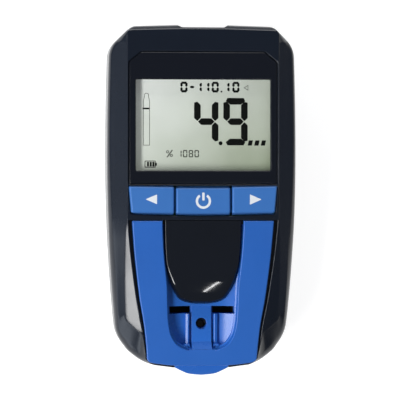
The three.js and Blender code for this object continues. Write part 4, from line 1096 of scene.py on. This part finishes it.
def front_housing():
    boss_foot = BACK_Z + SEAT_BOSS_HEIGHT + GAP
    bosses = [post(x, y, BOSS_RADIUS, boss_foot, face_at(y) - SHOULDER_DROP + 0.4) for x, y in SCREW_SPOTS]
    limit = joined(front_outer(), layered(OUTER, [(0, 0), (0, FRONT_Z + 0.5)]))
    bosses = combined(joined(*bosses), [limit], "INTERSECT")
    shell = joined(cut_by(front_outer(), front_inner()), bosses)
    bore_top = BACK_Z + HEAD_DEPTH + SHANK_LENGTH + 1
    view_y = VIEW_HALF_Y + WINDOW_BORDER + GAP
    view = slab(VIEW_HALF_X + WINDOW_BORDER + GAP, VIEW_Y - view_y, VIEW_Y + view_y, PART_Z, FACE_Z + REACH)
    lip_top = along_deck(RECESS_BOTTOM)
    lip_back = -POCKET_DEPTH - LIP_THICK - 2 * GAP
    return cut_by(
        shell,
        *posts(SCREW_SPOTS, SHANK_RADIUS + GAP, BACK_Z, bore_top, 24),
        flared(lambda rim: bezel_outline(GAP + rim), BEZEL_BACK_Z - GAP, FACE_Z, 0.45, 5),
        view,
        flared(key_opening, PART_Z, FACE_Z, 0.35),
        on_deck(flared(pocket_outline, -POCKET_DEPTH, 0, 0.3)),
        on_deck(plate(around_tray(TRAY_FLANGE, GAP), -POCKET_DEPTH - TRAY_FLANGE_THICK - GAP, REACH)),
        on_deck(plate(around_tray(TRAY_WALL, GAP), -2 * BOWL_DEPTH, REACH)),
        on_deck(slab(LIP_ROOT + 2 * GAP, lip_top - REACH, lip_top + 1, lip_back, REACH)),
        top_notch(),
        port_cutter(),
    )


piece(front_housing(), "case_front", "case", mat_case, ["front_housing"])


# Case rear

# Inset of the rear shell's side and height over the back
BACK_PROFILE = smooth_curve(
    [(BACK_INSET, 0), (3.0, 0.75), (1.6, 2.2), (0.85, 4.4), (0.35, 7.6), (0.08, 11.0)]
    + [(0, REAR_DEPTH - 0.35)],
    3,
)


def thumb_recess():
    """Dished cutter beside the door's latch: extra half width, reach past the door, z and rounding."""
    y = DOOR_TOP + DOOR_CLEAR
    levels = []
    for wide, high, z, radius in (
        (0.6, 5.1, -1, 2.0),
        (0.6, 5.1, BACK_Z, 2.0),
        (0, 4.5, BACK_Z + 0.5, 2.0),
        (-1, 3.2, BACK_Z + 1.1, 1.6),
    ):
        half = [(LATCH_HALF + wide, y + high), (LATCH_HALF + wide + 1, y - 0.5)]
        levels.append((rounded(mirrored(half), radius, 8), z))
    return prism(levels)


def screw_head_seat(x, y):
    wide = HEAD_RADIUS + GAP + 0.2
    levels = ((wide + 0.5, -1), (wide + 0.5, BACK_Z), (wide, BACK_Z + 0.4), (wide, BACK_Z + HEAD_DEPTH))
    return prism([(circle(x, y, radius), z) for radius, z in levels])


def rear_housing():
    sides = [(BACK_INSET + 0.8, BACK_Z)] + [(into, BACK_Z + height) for into, height in BACK_PROFILE]
    shell = layered(OUTER, sides + [(0.12, PART_Z - 0.1), (0.3, PART_Z)])
    hollow = layered(
        OUTER,
        [
            (BACK_INSET + 0.4 * WALL, BACK_Z + WALL),
            (0.5 * BACK_INSET + WALL, BACK_Z + 0.25 * REAR_DEPTH),
            (0.2 * BACK_INSET + WALL, BACK_Z + 0.55 * REAR_DEPTH),
            (WALL, PART_Z + 3),
        ],
    )

    def ring(distance, top):
        """Upright ring inside the shell's side, which centres the front shell."""
        inside = layered(OUTER, [(WALL + GAP + 1.1, PART_Z - 3), (WALL + GAP + 1.1, PART_Z + 3)])
        return cut_by(layered(OUTER, [(distance, PART_Z - 2.5), (distance, top)]), inside)

    margin = DOOR_CLEAR + BAY_WALL
    seat = (DOOR_BOTTOM - margin, DOOR_TOP + margin, BACK_Z + 0.2, SEAT_Z + SEAT_THICK)
    bay = (BAY_BOTTOM - BAY_WALL, BAY_TOP + BAY_WALL, BACK_Z + WALL, BAY_ROOF_Z)
    board_x = BAY_HALF - BOARD_POST_INSET
    board_ys = (BAY_BOTTOM + BOARD_POST_INSET, BAY_TOP - BOARD_POST_INSET)
    board_spots = [(side * board_x, y) for side in (-1, 1) for y in board_ys]
    optics_spots = [(side * OPTICS_POST_X, y) for side in (-1, 1) for y in OPTICS_POST_YS]
    body = joined(
        cut_by(shell, hollow),
        ring(WALL + GAP, PART_Z + 1.6),
        ring(0.5 * WALL, PART_Z - 0.6),
        slab(DOOR_HALF + margin, *seat),
        slab(BAY_HALF + BAY_WALL, *bay),
        *posts(SCREW_SPOTS, SEAT_BOSS_RADIUS, BACK_Z + 0.5, BACK_Z + SEAT_BOSS_HEIGHT),
        *posts(board_spots, POST_RADIUS, BAY_ROOF_Z - 0.5, BAY_ROOF_Z + POST_HEIGHT),
        *posts(optics_spots, POST_RADIUS, BACK_Z + 0.5, OPTICS_BOARD_Z - GAP),
    )

    def doorway(extra):
        more = DOOR_CLEAR + extra
        half = DOOR_HALF + more
        return rounded(rect(-half, half, DOOR_BOTTOM - more, DOOR_TOP + more), 2.6, 6)

    mouth = ((0.5, -1), (0.5, BACK_Z), (0.15, BACK_Z + 0.15), (0, BACK_Z + 0.5), (0, SEAT_Z))
    tab_end = DOOR_BOTTOM - TAB_REACH - 2.5
    tab_x = (TAB_OFFSET - TAB_HALF - GAP, TAB_OFFSET + TAB_HALF + GAP)
    return cut_by(
        body,
        prism([(doorway(extra), z) for extra, z in mouth]),
        slab(BAY_HALF, BAY_BOTTOM, BAY_TOP, -1, BAY_TOP_Z),
        *twin_boxes(*tab_x, tab_end, BAY_BOTTOM + GAP, SEAT_Z - 0.1, SEAT_Z + 3.5),
        thumb_recess(),
        *[screw_head_seat(x, y) for x, y in SCREW_SPOTS],
        *posts(SCREW_SPOTS, SHANK_RADIUS + GAP, -1, PART_Z, 24),
        *posts(FOOT_SPOTS, FOOT_RADIUS + GAP, -1, BACK_Z + FOOT_SINK + GAP, 64),
        top_notch(),
        port_cutter(),
    )


piece(rear_housing(), "case_rear", "case", mat_rear, ["rear_housing"])


# Battery door


def battery_door():
    def outline(into):
        half = DOOR_HALF - into
        return rounded(rect(-half, half, DOOR_BOTTOM + into, DOOR_TOP - into), 2.4, 6)

    levels = [(outline(into), BACK_Z + rise) for rise, into in quarter(0.45, 4)]
    panel = prism(levels + [(outline(0), DOOR_TOP_Z)])
    tab_x = (TAB_OFFSET - TAB_HALF, TAB_OFFSET + TAB_HALF)
    tab_root = DOOR_BOTTOM + 1.8
    tab_top = SEAT_Z + 0.1 + TAB_THICK
    tabs = twin_boxes(*tab_x, DOOR_BOTTOM - TAB_REACH, tab_root, SEAT_Z + 0.1, tab_top)
    tabs += twin_boxes(*tab_x, DOOR_BOTTOM + 0.4, tab_root, DOOR_TOP_Z - 0.5, tab_top)
    ribs = []
    for share in (0.3, 0.7):
        y = lerp(BAY_BOTTOM, BAY_TOP, share)
        ribs.append(slab(BAY_HALF - 1, y - 0.6, y + 0.6, DOOR_TOP_Z - 0.3, DOOR_TOP_Z + DOOR_RIB))
    slit_x = (LATCH_HALF - LATCH_SLIT / 2, LATCH_HALF + LATCH_SLIT / 2)
    grips = []
    for index in range(GRIP_COUNT):
        y = DOOR_TOP - 2.0 - GRIP_PITCH * index
        groove = rounded(rect(-GRIP_HALF, GRIP_HALF, y - 0.35, y + 0.35), 0.3)
        grips.append(plate(groove, -1, BACK_Z + GRIP_DEPTH))
    slits = twin_boxes(*slit_x, DOOR_TOP - LATCH_LENGTH, DOOR_TOP + 1, -1, DOOR_TOP_Z + 1)
    return cut_by(joined(panel, *tabs, *ribs), *slits, *grips)


piece(battery_door(), "battery_cover", "door", mat_rear, ["battery_door"], bevel=0.12)


# Display


def view_rect(border):
    x, y = VIEW_HALF_X + border, VIEW_HALF_Y + border
    return (-x, x, VIEW_Y - y, VIEW_Y + y)


def screen_frame():
    top = FACE_Z + BEZEL_PROUD
    panel = prism(rounded_rim(lambda into: bezel_outline(-into), BEZEL_BACK_Z, top, 0.3, 4))

    def view(rim):
        return rounded(rect(*view_rect(rim)), 0.5 + rim, 5)

    return cut_by(panel, flared(view, BEZEL_BACK_Z - 1, top, BEZEL_BEVEL))


window = soft_box(*view_rect(WINDOW_BORDER), WINDOW_BACK_Z, WINDOW_TOP_Z, 0.6, 0.15)
panel = soft_box(*view_rect(LCD_BORDER), LCD_BACK_Z, LCD_TOP_Z, 0.6, 0.15)
piece(screen_frame(), "screen_frame", "case", mat_bezel, ["display_bezel"])
piece(window, "screen_window", "case", mat_window, ["display_window"])
piece(panel, "screen_panel", "case", mat_display, ["lcd_panel"])

# Lit segments of each character
SEGMENTS = {"0": "abcdef", "1": "bc", "4": "bcfg", "8": "abcdefg", "9": "abcdfg", "-": "g"}

# Signs of the display, in pixels of the photograph. A row has characters with their left edges, and
# its cells have a top, width, height, thickness of stroke and gap.
READING = (("4", 194.0), ("9", 223.4))
READING_CELL = (98.0, 24.4, 47.4, 6.6, 0.55)
TOP_ROW = (("0", 180.2), ("-", 188.4), ("1", 194.6), ("1", 202.2), ("0", 211.6), ("1", 222.4), ("0", 232.4))
TOP_CELL = (81.8, 7.2, 10.8, 2.3, 0.08)
LOW_ROW = [(character, 177.0 + 5.8 * index) for index, character in enumerate("1080")]
LOW_CELL = (150.2, 4.4, 7.2, 1.0, 0.08)
POINT = (220.6, 143.3, 2.0)
TOP_POINT = (220.7, 222.3, 90.9, 92.5)
TUBE = [(142.9, 101.0), (144.0, 97.0), (144.0, 93.4), (148.6, 93.4), (148.6, 97.0), (149.6, 101.0)]
TUBE += [(149.6, 145.6), (142.9, 145.6)]
TUBE_RADII = [0.8, 0.6, 0.85, 0.85, 0.6, 0.8, 0.2, 0.2]
TUBE_LEVEL = (142.4, 149.2, 108.0, 109.6)
BAR_COLUMNS = [247.8 + 6.6 * index for index in range(3)]
SLANTED_BAR = [(1.2, 140.4), (5.4, 140.4), (4.2, 145.6), (0, 145.6)]
BATTERY = (144.4, 155.4, 160.8, 167.7)
BATTERY_TIP = (155.2, 156.6, 162.9, 165.8)
BATTERY_BARS = [(146.8 + 2.7 * index, 148.8 + 2.7 * index, 162.0, 166.6) for index in range(3)]
POINTER = [(243.8, 87.8), (248.4, 85.0), (248.4, 90.6)]
PERCENT_RINGS = [(167.4, 152.0, 1.5), (171.2, 155.6, 1.5)]
PERCENT_STROKE = [(171.6, 150.0), (172.6, 150.4), (167.4, 157.6), (166.4, 157.2)]


def on_screen(outline):
    return [((px - SCREEN_COLUMN) * SCREEN_PIXEL, (MIDDLE_ROW - py) * SCREEN_PIXEL) for px, py in outline]


def seven_segment(character, left, top, width, height, thick, gap):
    """Outlines of a character's segments, in pixels, y down."""
    half = thick / 2
    x0, x1 = left + half, left + width - half
    y0, y1, y2 = top + half, top + height / 2, top + height - half

    def stroke(start, end, line, side, outer, inner=(1, 1)):
        """Six corners along a line, with the cuts of its outer and inner side at both ends."""
        start += gap
        end -= gap
        return [
            (start, line),
            (start + half * outer[0], line - half * side),
            (end - half * outer[1], line - half * side),
            (end, line),
            (end - half * inner[1], line + half * side),
            (start + half * inner[0], line + half * side),
        ]

    def level(y, side):
        return stroke(x0 - 0.45 * half, x1 + 0.45 * half, y, side, (0.5, 0.5), (1.3, 1.3))

    def upright(x, side, ya, yb, outer):
        return [(px, py) for py, px in stroke(ya, yb, x, side, outer)]

    shapes = {
        "a": level(y0, 1),
        "g": stroke(x0, x1, y1, 1, (1, 1)),
        "d": level(y2, -1),
        "f": upright(x0, 1, y0, y1, (0.25, 0.9)),
        "b": upright(x1, -1, y0, y1, (0.25, 0.9)),
        "e": upright(x0, 1, y1, y2, (0.9, 0.25)),
        "c": upright(x1, -1, y1, y2, (0.9, 0.25)),
    }
    return [shapes[key] for key in SEGMENTS[character]]


def ink(outline, rounding=0.0):
    points = on_screen(outline)
    return plate(rounded(points, rounding, 3) if rounding else points, INK_Z0, INK_Z1)


def ink_line(outline, width):
    """Closed line of ink inside an outline in millimetres."""
    outer = turned(outline)
    inner = moved_in(outline, width)
    points = at(outer, INK_Z0) + at(outer, INK_Z1) + at(inner, INK_Z1) + at(inner, INK_Z0)
    return points, [tuple(index % len(points) for index in face) for face in walls(5, len(outer))]


def characters(row, cell, rounding=0.0):
    return [ink(outline, rounding) for sign, left in row for outline in seven_segment(sign, left, *cell)]


def display_segments():
    shapes = characters(READING, READING_CELL, 0.22) + [ink(circle(*POINT, 24))]
    shapes += characters(TOP_ROW, TOP_CELL, 0.06)
    shapes += [ink(rect(*TOP_POINT), 0.1), ink(rect(*TUBE_LEVEL), 0.1)]
    shapes += [ink([(column + x, y) for x, y in SLANTED_BAR], 0.1) for column in BAR_COLUMNS]
    shapes.append(ink_line(rounded(on_screen(rect(*BATTERY)), 0.3, 3), 0.3))
    shapes += [ink(rect(*place), 0.08) for place in BATTERY_BARS + [BATTERY_TIP]]
    return merged(shapes)


def display_outlines():
    shapes = [ink_line(rounded(on_screen(TUBE), TUBE_RADII, 5), 0.2)]
    shapes += characters(LOW_ROW, LOW_CELL)
    shapes.append(ink_line(on_screen(POINTER), 0.2))
    shapes += [ink_line(on_screen(circle(*ring, 20)), 0.28) for ring in PERCENT_RINGS]
    return merged(shapes + [ink(PERCENT_STROKE)])


piece(display_segments(), "screen_segments", "case", mat_ink, angle=50)
piece(display_outlines(), "screen_outlines", "case", mat_faint, angle=50)


# Keys


def key_outline(name):
    inner = POWER_HALF + KEY_GAP
    sag = 0.4 * KEY_BOW
    low = KEY_TRIM - KEY_HALF
    if name == "power":
        return [
            (-POWER_HALF, KEY_HALF - KEY_BOW),
            (POWER_HALF, KEY_HALF - KEY_BOW),
            (POWER_HALF, low - 0.5 * KEY_BOW),
            (0, low - 0.75 * KEY_BOW),
            (-POWER_HALF, low - 0.5 * KEY_BOW),
        ]
    points = [
        (inner, KEY_HALF - sag),
        (KEY_ROW_HALF, KEY_HALF),
        (KEY_ROW_HALF - KEY_TAPER, low),
        (inner, low - sag),
    ]
    return [(-x, y) for x, y in reversed(points)] if name == "left" else points


def key_cap(name):
    corners = key_outline(name)
    radii = [0.7 if abs(x) > 1 else 6.0 for x, y in turned(corners)]

    def outline(into):
        here = [r if r > 1 else max(0.35, r - into * 0.4) for r in radii]
        return rounded(moved_in(corners, into), here, 5)

    levels = [(outline(-KEY_SKIRT), FLANGE_TOP_Z - 0.5), (outline(-KEY_SKIRT), FACE_Z - 0.25)]
    levels += [(outline(-0.5 * KEY_SKIRT), FACE_Z - 0.08)]
    levels += rounded_rim(outline, FACE_Z, FACE_Z + KEY_PROUD, KEY_EDGE)
    wide = [(x, y + math.copysign(KEY_FLANGE, y)) for x, y in corners]
    flange = plate(wide, FLANGE_TOP_Z - KEY_FLANGE_THICK, FLANGE_TOP_Z)
    side = (POWER_HALF + KEY_GAP + KEY_ROW_HALF) / 2
    x = {"left": -side, "power": 0.0, "right": side}[name]
    stem = post(x, 0, STEM_RADIUS, STEM_Z, FLANGE_TOP_Z - 0.3, 32)
    return joined(prism(levels), flange, stem)


# Marks of the keys. In pixels of the photograph: tip, base, middle row and half height of the arrows,
# and centre and rows of the power mark. Its half width and radii are in millimetres.
LEFT_ARROW = (145.4, 156.9, 199.4, 4.9)
RIGHT_ARROW = (262.0, 250.2, 199.6, 5.2)
POWER_CENTRE = (203.4, 201.2)
STROKE_TOP = 192.6
STROKE_BOTTOM = 200.6
STROKE_HALF = 0.5
POWER_RADII = (3.15, 2.15)
POWER_OPENING = math.radians(33)
ARC_STEPS = 48


def on_key(px, py):
    return ((px - MARK_COLUMN) * MARK_PIXEL, (MIDDLE_ROW - py) * MARK_PIXEL)


def arrow_mark(tip, base, middle, half):
    points = [on_key(tip, middle), on_key(base, middle + half), on_key(base, middle - half)]
    return plate(rounded(points, 0.3, 3), MARK_Z0, MARK_Z1)


def power_mark():
    centre = on_key(*POWER_CENTRE)
    angles = [
        math.pi / 2 + POWER_OPENING + (2 * math.pi - 2 * POWER_OPENING) * step / ARC_STEPS
        for step in range(ARC_STEPS + 1)
    ]
    points = []
    for radius, order in zip(POWER_RADII, (angles, reversed(angles))):
        points += [(centre[0] + radius * math.cos(a), centre[1] + radius * math.sin(a)) for a in order]
    x, top = on_key(POWER_CENTRE[0], STROKE_TOP)
    x, bottom = on_key(POWER_CENTRE[0], STROKE_BOTTOM)
    stroke = rounded(rect(x - STROKE_HALF, x + STROKE_HALF, bottom, top), 0.35)
    return merged([plate(points, MARK_Z0, MARK_Z1), plate(stroke, MARK_Z0, MARK_Z1)])


for side in ("left", "power", "right"):
    piece(key_cap(side), f"key_{side}_cap", f"key_{side}", mat_key, [f"button_{side}"])
piece(arrow_mark(*LEFT_ARROW), "mark_left", "key_left", mat_mark)
piece(arrow_mark(*RIGHT_ARROW), "mark_right", "key_right", mat_mark)
piece(power_mark(), "mark_power", "key_power", mat_mark)


# Blue frame


def frame_outline():
    lower = [
        (FRAME_SIDE[-1][0] - 0.15, FRAME_BOTTOM + 1.9),
        (FRAME_SIDE[-1][0] - 1.3, FRAME_BOTTOM + 0.9),
        (17.0, FRAME_BOTTOM + 0.15),
        (LIP_ROOT, FRAME_BOTTOM - 0.45),
        (LIP_ROOT / 2, FRAME_BOTTOM - 0.55),
    ]
    sides = [p for p in FRAME_SIDE[1:] if p[1] > FRAME_BOTTOM + 3.5]
    top = corner((0, FRAME_TOP), FRAME_SIDE[0], FRAME_SIDE[2], 0.6, 5)
    return top + sides[1:] + smooth_curve([sides[-1]] + lower, 5)[1:]


def front_frame():
    """Frame with its opening, and a bridge that keeps the rim plain where the platform runs out."""
    back = FRAME_PROUD - FRAME_THICK
    edge = [(into, FRAME_PROUD - drop) for into, drop in quarter(FRAME_EDGE, 5)]
    opening = deck_half(RECESS)
    opening[0] = (opening[0][0], opening[0][1] + REACH)
    cutter = [(0, -REACH)] + [(-into, z) for into, z in edge] + [(-FRAME_EDGE, REACH)]
    frame_body = cut_by(layered(deck_half(frame_outline()), [(0, back)] + edge), layered(opening, cutter))
    bridge_y = (along_deck(RECESS_BOTTOM) - 1.2, along_deck(RAMP_END) - 0.03)
    return on_deck(joined(frame_body, slab(BRIDGE_HALF, *bridge_y, FRAME_PROUD - 0.6, FRAME_PROUD)))


piece(front_frame(), "blue_frame", "case", mat_frame, ["front_frame"])


# Tray

PLATFORM_EDGE = [(PLATFORM_HALF - 0.25, 0.0), (PLATFORM_HALF - 0.07, -0.07), (PLATFORM_HALF, -0.25)]
PLATFORM_SECTION = [(-x, lift) for x, lift in reversed(PLATFORM_EDGE)] + PLATFORM_EDGE
# Distance outwards from the rail's inner side, and lift
RAIL_SECTION = [(0, -0.5), (0.12, -0.3), (0.3, -0.12), (0.5, -0.03), (0.62, 0)]
RAIL_SECTION += [(0.75, -0.03), (1.6, -0.36), (1.7, -0.5)]
# The dish is nearly level in its middle and has its full slope at the sides
DISH_STEPS = 30
DISH_LEVEL = 4.5
DISH_STEEP = 11.0
DISH_LEAST = 0.2


def dish(outline, slope):
    """Cutter that runs along Y and is curved across, inside the outline and its sloped band."""
    wide = RECESS_HALF + 1
    half = [(wide, -POCKET_DEPTH - BAND_DROP + (wide - RECESS_HALF + BAND_WIDE) * math.tan(slope))]
    for step in range(1, DISH_STEPS + 1):
        x = lerp(wide, 0, step / DISH_STEPS)
        share = DISH_LEAST + (1 - DISH_LEAST) * smoothstep(x, DISH_LEVEL, DISH_STEEP)
        here = slope * share * smoothstep(x, -1.0, DISH_LEVEL)
        half.append((x, half[-1][1] - math.tan(here) * wide / DISH_STEPS))
    section = [(-x, z) for x, z in half] + list(reversed(half))[1:] + [(wide, REACH), (-wide, REACH)]
    count = len(section)
    ends = (along_deck(RECESS_BOTTOM) - 1, along_deck(TRAY_TOP) + 1)
    points = [(x, y, z) for y in ends for x, z in section]
    faces = [tuple(range(count)), tuple(reversed(range(count, 2 * count)))] + walls(2, count, True)
    levels = [(BAND_WIDE, -REACH), (BAND_WIDE, -POCKET_DEPTH - BAND_DROP)]
    for left in (0.7, 0.35, 0.0):
        levels.append((BAND_WIDE * left, -POCKET_DEPTH - BAND_DROP * left**1.05))
    return combined(layered(outline, levels + [(0, REACH)]), [(points, faces)], "INTERSECT")


def tray_lip(top):
    side = [
        (LIP_ROOT, RECESS_BOTTOM),
        (LIP_ROOT, -68.9),
        (LIP_ROOT - 0.9, -69.5),
        (LIP_ROOT - 2.9, -70.5),
        (LIP_TIP + 1.2, -71.45),
        (LIP_TIP - 1.6, -71.9),
        (0.4, LIP_END),
    ]
    half = smooth_curve(deck_half(side), 5)
    return layered(half, [(0, top - LIP_THICK), (0, top - 0.4), (0.12, top - 0.12), (0.4, top)])


def tray_shelf(outline, top, floor):
    """Level above the slots, dished less than the rest."""
    strip_y = (along_deck(SLOT_TOP), along_deck(SHELF_TOP))
    whole = layered(outline, [(0, floor - 0.5), (0, top - 0.05)])
    shelf = combined(whole, [slab(RECESS_HALF, *strip_y, floor - 1, top)], "INTERSECT")
    return cut_by(shelf, dish(outline, SHELF_SLOPE))


def tray_platform(floor_top, foot):
    """Raised middle that climbs slowly to the lower end and meets the frame there in a ramp."""
    path = [
        (-43.2, floor_top),
        (-44.5, floor_top + 0.05),
        (-58.5, floor_top + 2.1),
        (-60.95, FRAME_PROUD - 0.45),
        (RAMP_END, FRAME_PROUD - 0.03),
    ]
    return strip(PLATFORM_SECTION, path, foot)


def test_tray():
    outline = deck_half(TRAY_OUTLINE)
    top = -POCKET_DEPTH
    floor = -BOWL_DEPTH
    foot = floor - 0.5
    tub = plate(around_tray(TRAY_WALL), floor - TRAY_FLOOR, top)
    flange = plate(around_tray(TRAY_FLANGE), top - TRAY_FLANGE_THICK, top)
    seam_y = (along_deck(FRAME_BOTTOM - SEAM_WIDE), along_deck(FRAME_BOTTOM + 0.3))
    seam = slab(LIP_ROOT + 1, *seam_y, top - SEAM_DEEP, top + 1)
    shell = cut_by(joined(tub, flange, tray_lip(top)), dish(outline, DISH_SLOPE), seam)
    cover = inset(deck_half(TONGUE), -GAP)
    shell = cut_by(joined(shell, tray_shelf(outline, top, floor)), layered(cover, [(0, floor), (0, REACH)]))
    floor_top = floor + PLATFORM_HEIGHT
    rail_top = floor + RAIL_HEIGHT
    stop_y = (along_deck(STOP_BOTTOM), along_deck(STOP_TOP))
    rails = []
    stops = []
    for side in (-1, 1):
        section = sorted((side * (RAIL_INNER + x), lift) for x, lift in RAIL_SECTION)
        rails.append(strip(section, [(y, rail_top) for y in (RAIL_TOP, RAIL_BOTTOM)], foot))
        stop_x = sorted((side * STOP_INNER, side * STOP_OUTER))
        stops.append(soft_box(*stop_x, *stop_y, foot, rail_top + STOP_RISE, 0.9, 0.6))
    slot_y = (along_deck(SLOT_BOTTOM), along_deck(SLOT_TOP))
    slots = twin_boxes(SLOT_INNER, SLOT_OUTER, *slot_y, floor - REACH, floor + 5)

    def hole(rim):
        return circle(0, along_deck(TEST_HOLE_Y), TEST_HOLE_RADIUS + rim, 40)

    shell = joined(shell, tray_platform(floor_top, foot), *rails, *stops)
    return on_deck(cut_by(shell, *slots, flared(hole, floor - REACH, floor_top, 0.2)))


piece(test_tray(), "recess_tray", "case", mat_tray, ["test_tray"])


# Tongue

# Distance below the hinge from which the sides are rounded more, and where fully, and the least share
EDGE_FROM = 19.0
EDGE_TO = 28.0
EDGE_LEAST = 0.15
# Rim: distance inwards and drop, in shares of its rounding
TONGUE_RIM = ((0.08, 0.85), (0.22, 0.58), (0.45, 0.34), (0.75, 0.18), (1.1, 0.08), (1.6, 0.02), (2.2, 0.0))
TONGUE_CAP = (0.8, 0.6, 0.4, 0.2, 0.04)


def optics_cover():
    outline = deck_half(TONGUE)
    root_top = along_deck(TRAY_TOP - 2 * GAP)
    root = [(TONGUE_HALF, root_top)] + [(x, min(y, root_top - 0.05)) for x, y in outline[1:]]
    nose_start = along_deck(lerp(FRAME_TOP, TONGUE_BOTTOM, NOSE_SHARE))
    nose_end = along_deck(TONGUE_BOTTOM)

    def crowned(level):
        """Height of a point whose level sinks towards the sides and at the nose."""

        def height(x, y):
            share = clamp((nose_start - y) / (nose_start - nose_end), 0.0, 1.0)
            return level - (TONGUE_NOSE * share**2 + TONGUE_CROWN * (x / TONGUE_HALF) ** 2)

        return height

    def sides_in(distance):
        """Outline moved in, but hardly so in its upper part."""
        moved = inset(outline, distance)
        moved[0] = (moved[0][0], outline[0][1])
        shares = [lerp(EDGE_LEAST, 1.0, smoothstep(-y, EDGE_FROM, EDGE_TO)) for _, y in outline]
        return [lerp_point(a, b, share) for a, b, share in zip(outline, moved, shares)]

    base = GAP - BOWL_DEPTH
    rings = [
        at(inset(root, TONGUE_DRAFT), base),
        at(inset(root, 0.12 * TONGUE_DRAFT), -3 * TONGUE_ROUND),
        at(root, crowned(0.2 - POCKET_DEPTH)),
        at(outline, crowned(0.4 - POCKET_DEPTH)),
    ]
    for distance, drop in TONGUE_RIM:
        rings.append(at(sides_in(distance * TONGUE_ROUND), crowned(-drop * TONGUE_ROUND)))
    for share in TONGUE_CAP:
        rings.append(at([(x * share, y) for x, y, _ in rings[-1]], crowned(0.0)))
    inside = TONGUE_DRAFT + TONGUE_WALL
    hollow = layered(root, [(inside, base - 1), (inside, crowned(-2 * TONGUE_ROUND))])
    return on_deck(cut_by(loft(rings), hollow))


piece(optics_cover(), "tongue", "case", mat_tongue, ["optics_cover"])


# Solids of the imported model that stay: material, softened edge and how the names start

KEPT = [
    (mat_cell, 0.0, ("battery_",)),
    (mat_steel, 0.08, ("contact_", "switch_")),
    (mat_steel, 0.12, ("data_port",)),
    (mat_pale, 0.08, ("lcd_holder", "led_")),
    (mat_zebra, 0.08, ("zebra_",)),
    (mat_board, 0.08, ("main_board", "sensor_board")),
    (mat_chip, 0.08, ("processor_", "memory_", "buzzer", "plunger_", "optics_block", "detector_")),
    (mat_sensor, 0.08, ("cartridge_sensor",)),
    (mat_screw, 0.1, ("case_screw_",)),
    (mat_rubber, 0.35, ("foot_",)),
]

for node_name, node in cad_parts.items():
    if node_name in replaced:
        continue
    material, width = next(row[:2] for row in KEPT if node_name.startswith(row[2]))
    node.data.materials.clear()
    node.data.materials.append(material)
    if width:
        bevelled(node, width, 40)


# Stage, lights and camera, in metres

AIM = (0, 0, 0.02)
# Name, place, size across and along its run, direction of the run, power and a colour if not white
LAMPS = [
    ("key", (-0.65, -0.34, 0.80), 0.25, 0.75, (0, 1, 0), 10.3),
    ("side", (-0.95, -0.50, 0.18), 0.30, 0.75, (0, 1, 0), 2.0, (0.84, 0.91, 1.0)),
    ("left", (-0.95, 0.05, 0.45), 0.45, 0.9, (0, 1, 0), 0.6, (0.8, 0.88, 1.0)),
    ("right", (0.95, 0.05, 0.30), 0.45, 0.9, (0, 1, 0), 0.2, (0.6, 0.7, 1.0)),
    ("top", (0.0, 0.97, 0.36), 0.45, 0.9, (1, 0, 0), 6.0),
    ("streak", (0.1407, -0.5644, 0.9726), 0.008, 0.24, (0.0729, 0.2613, 0.1352), 0.20),
]
WORLD_COLOR = (0.9, 0.93, 1.0, 1)
WORLD_STRENGTH = 0.14
CAMERA_TILT = math.radians(5.3)
CAMERA_AIM = (0.0003, 0, 0.0147)
CAMERA_DISTANCE = 1.1
FRAME_WIDTH = 0.1659
SENSOR = 36.0


def floor_piece():
    corners = at(rect(-FLOOR_HALF, FLOOR_HALF, -FLOOR_HALF, FLOOR_HALF), FLOOR_Z)
    floor = as_object((corners, [(0, 1, 2, 3)]), "floor")
    floor.data.materials.append(floor_material())


def area_light(name, place, across, along, run, power, color=(1.0, 1.0, 1.0)):
    data = bpy.data.lights.new(name, "AREA")
    data.shape = "RECTANGLE"
    data.size = across
    data.size_y = along
    data.energy = power
    data.color = color
    back = (Vector(place) - Vector(AIM)).normalized()
    side = Vector(run).cross(back).normalized()
    turn = Matrix((side, back.cross(side), back)).transposed()
    in_scene(name, data).matrix_world = Matrix.Translation(place) @ turn.to_4x4()


def make_world():
    world = bpy.data.worlds.new("studio")
    world.use_nodes = True
    background = world.node_tree.nodes["Background"]
    background.inputs["Color"].default_value = WORLD_COLOR
    background.inputs["Strength"].default_value = WORLD_STRENGTH
    bpy.context.scene.world = world


def make_camera():
    data = bpy.data.cameras.new("camera")
    data.sensor_width = SENSOR
    data.lens = SENSOR * CAMERA_DISTANCE / FRAME_WIDTH
    camera = in_scene("camera", data)
    direction = Vector((-math.sin(CAMERA_TILT), 0, math.cos(CAMERA_TILT)))
    camera.location = Vector(CAMERA_AIM) + direction * CAMERA_DISTANCE
    camera.rotation_euler = (0, -CAMERA_TILT, 0)
    bpy.context.scene.camera = camera


floor_piece()
make_world()
for lamp in LAMPS:
    area_light(*lamp)
make_camera()
bpy.context.scene.view_settings.view_transform = "Standard"
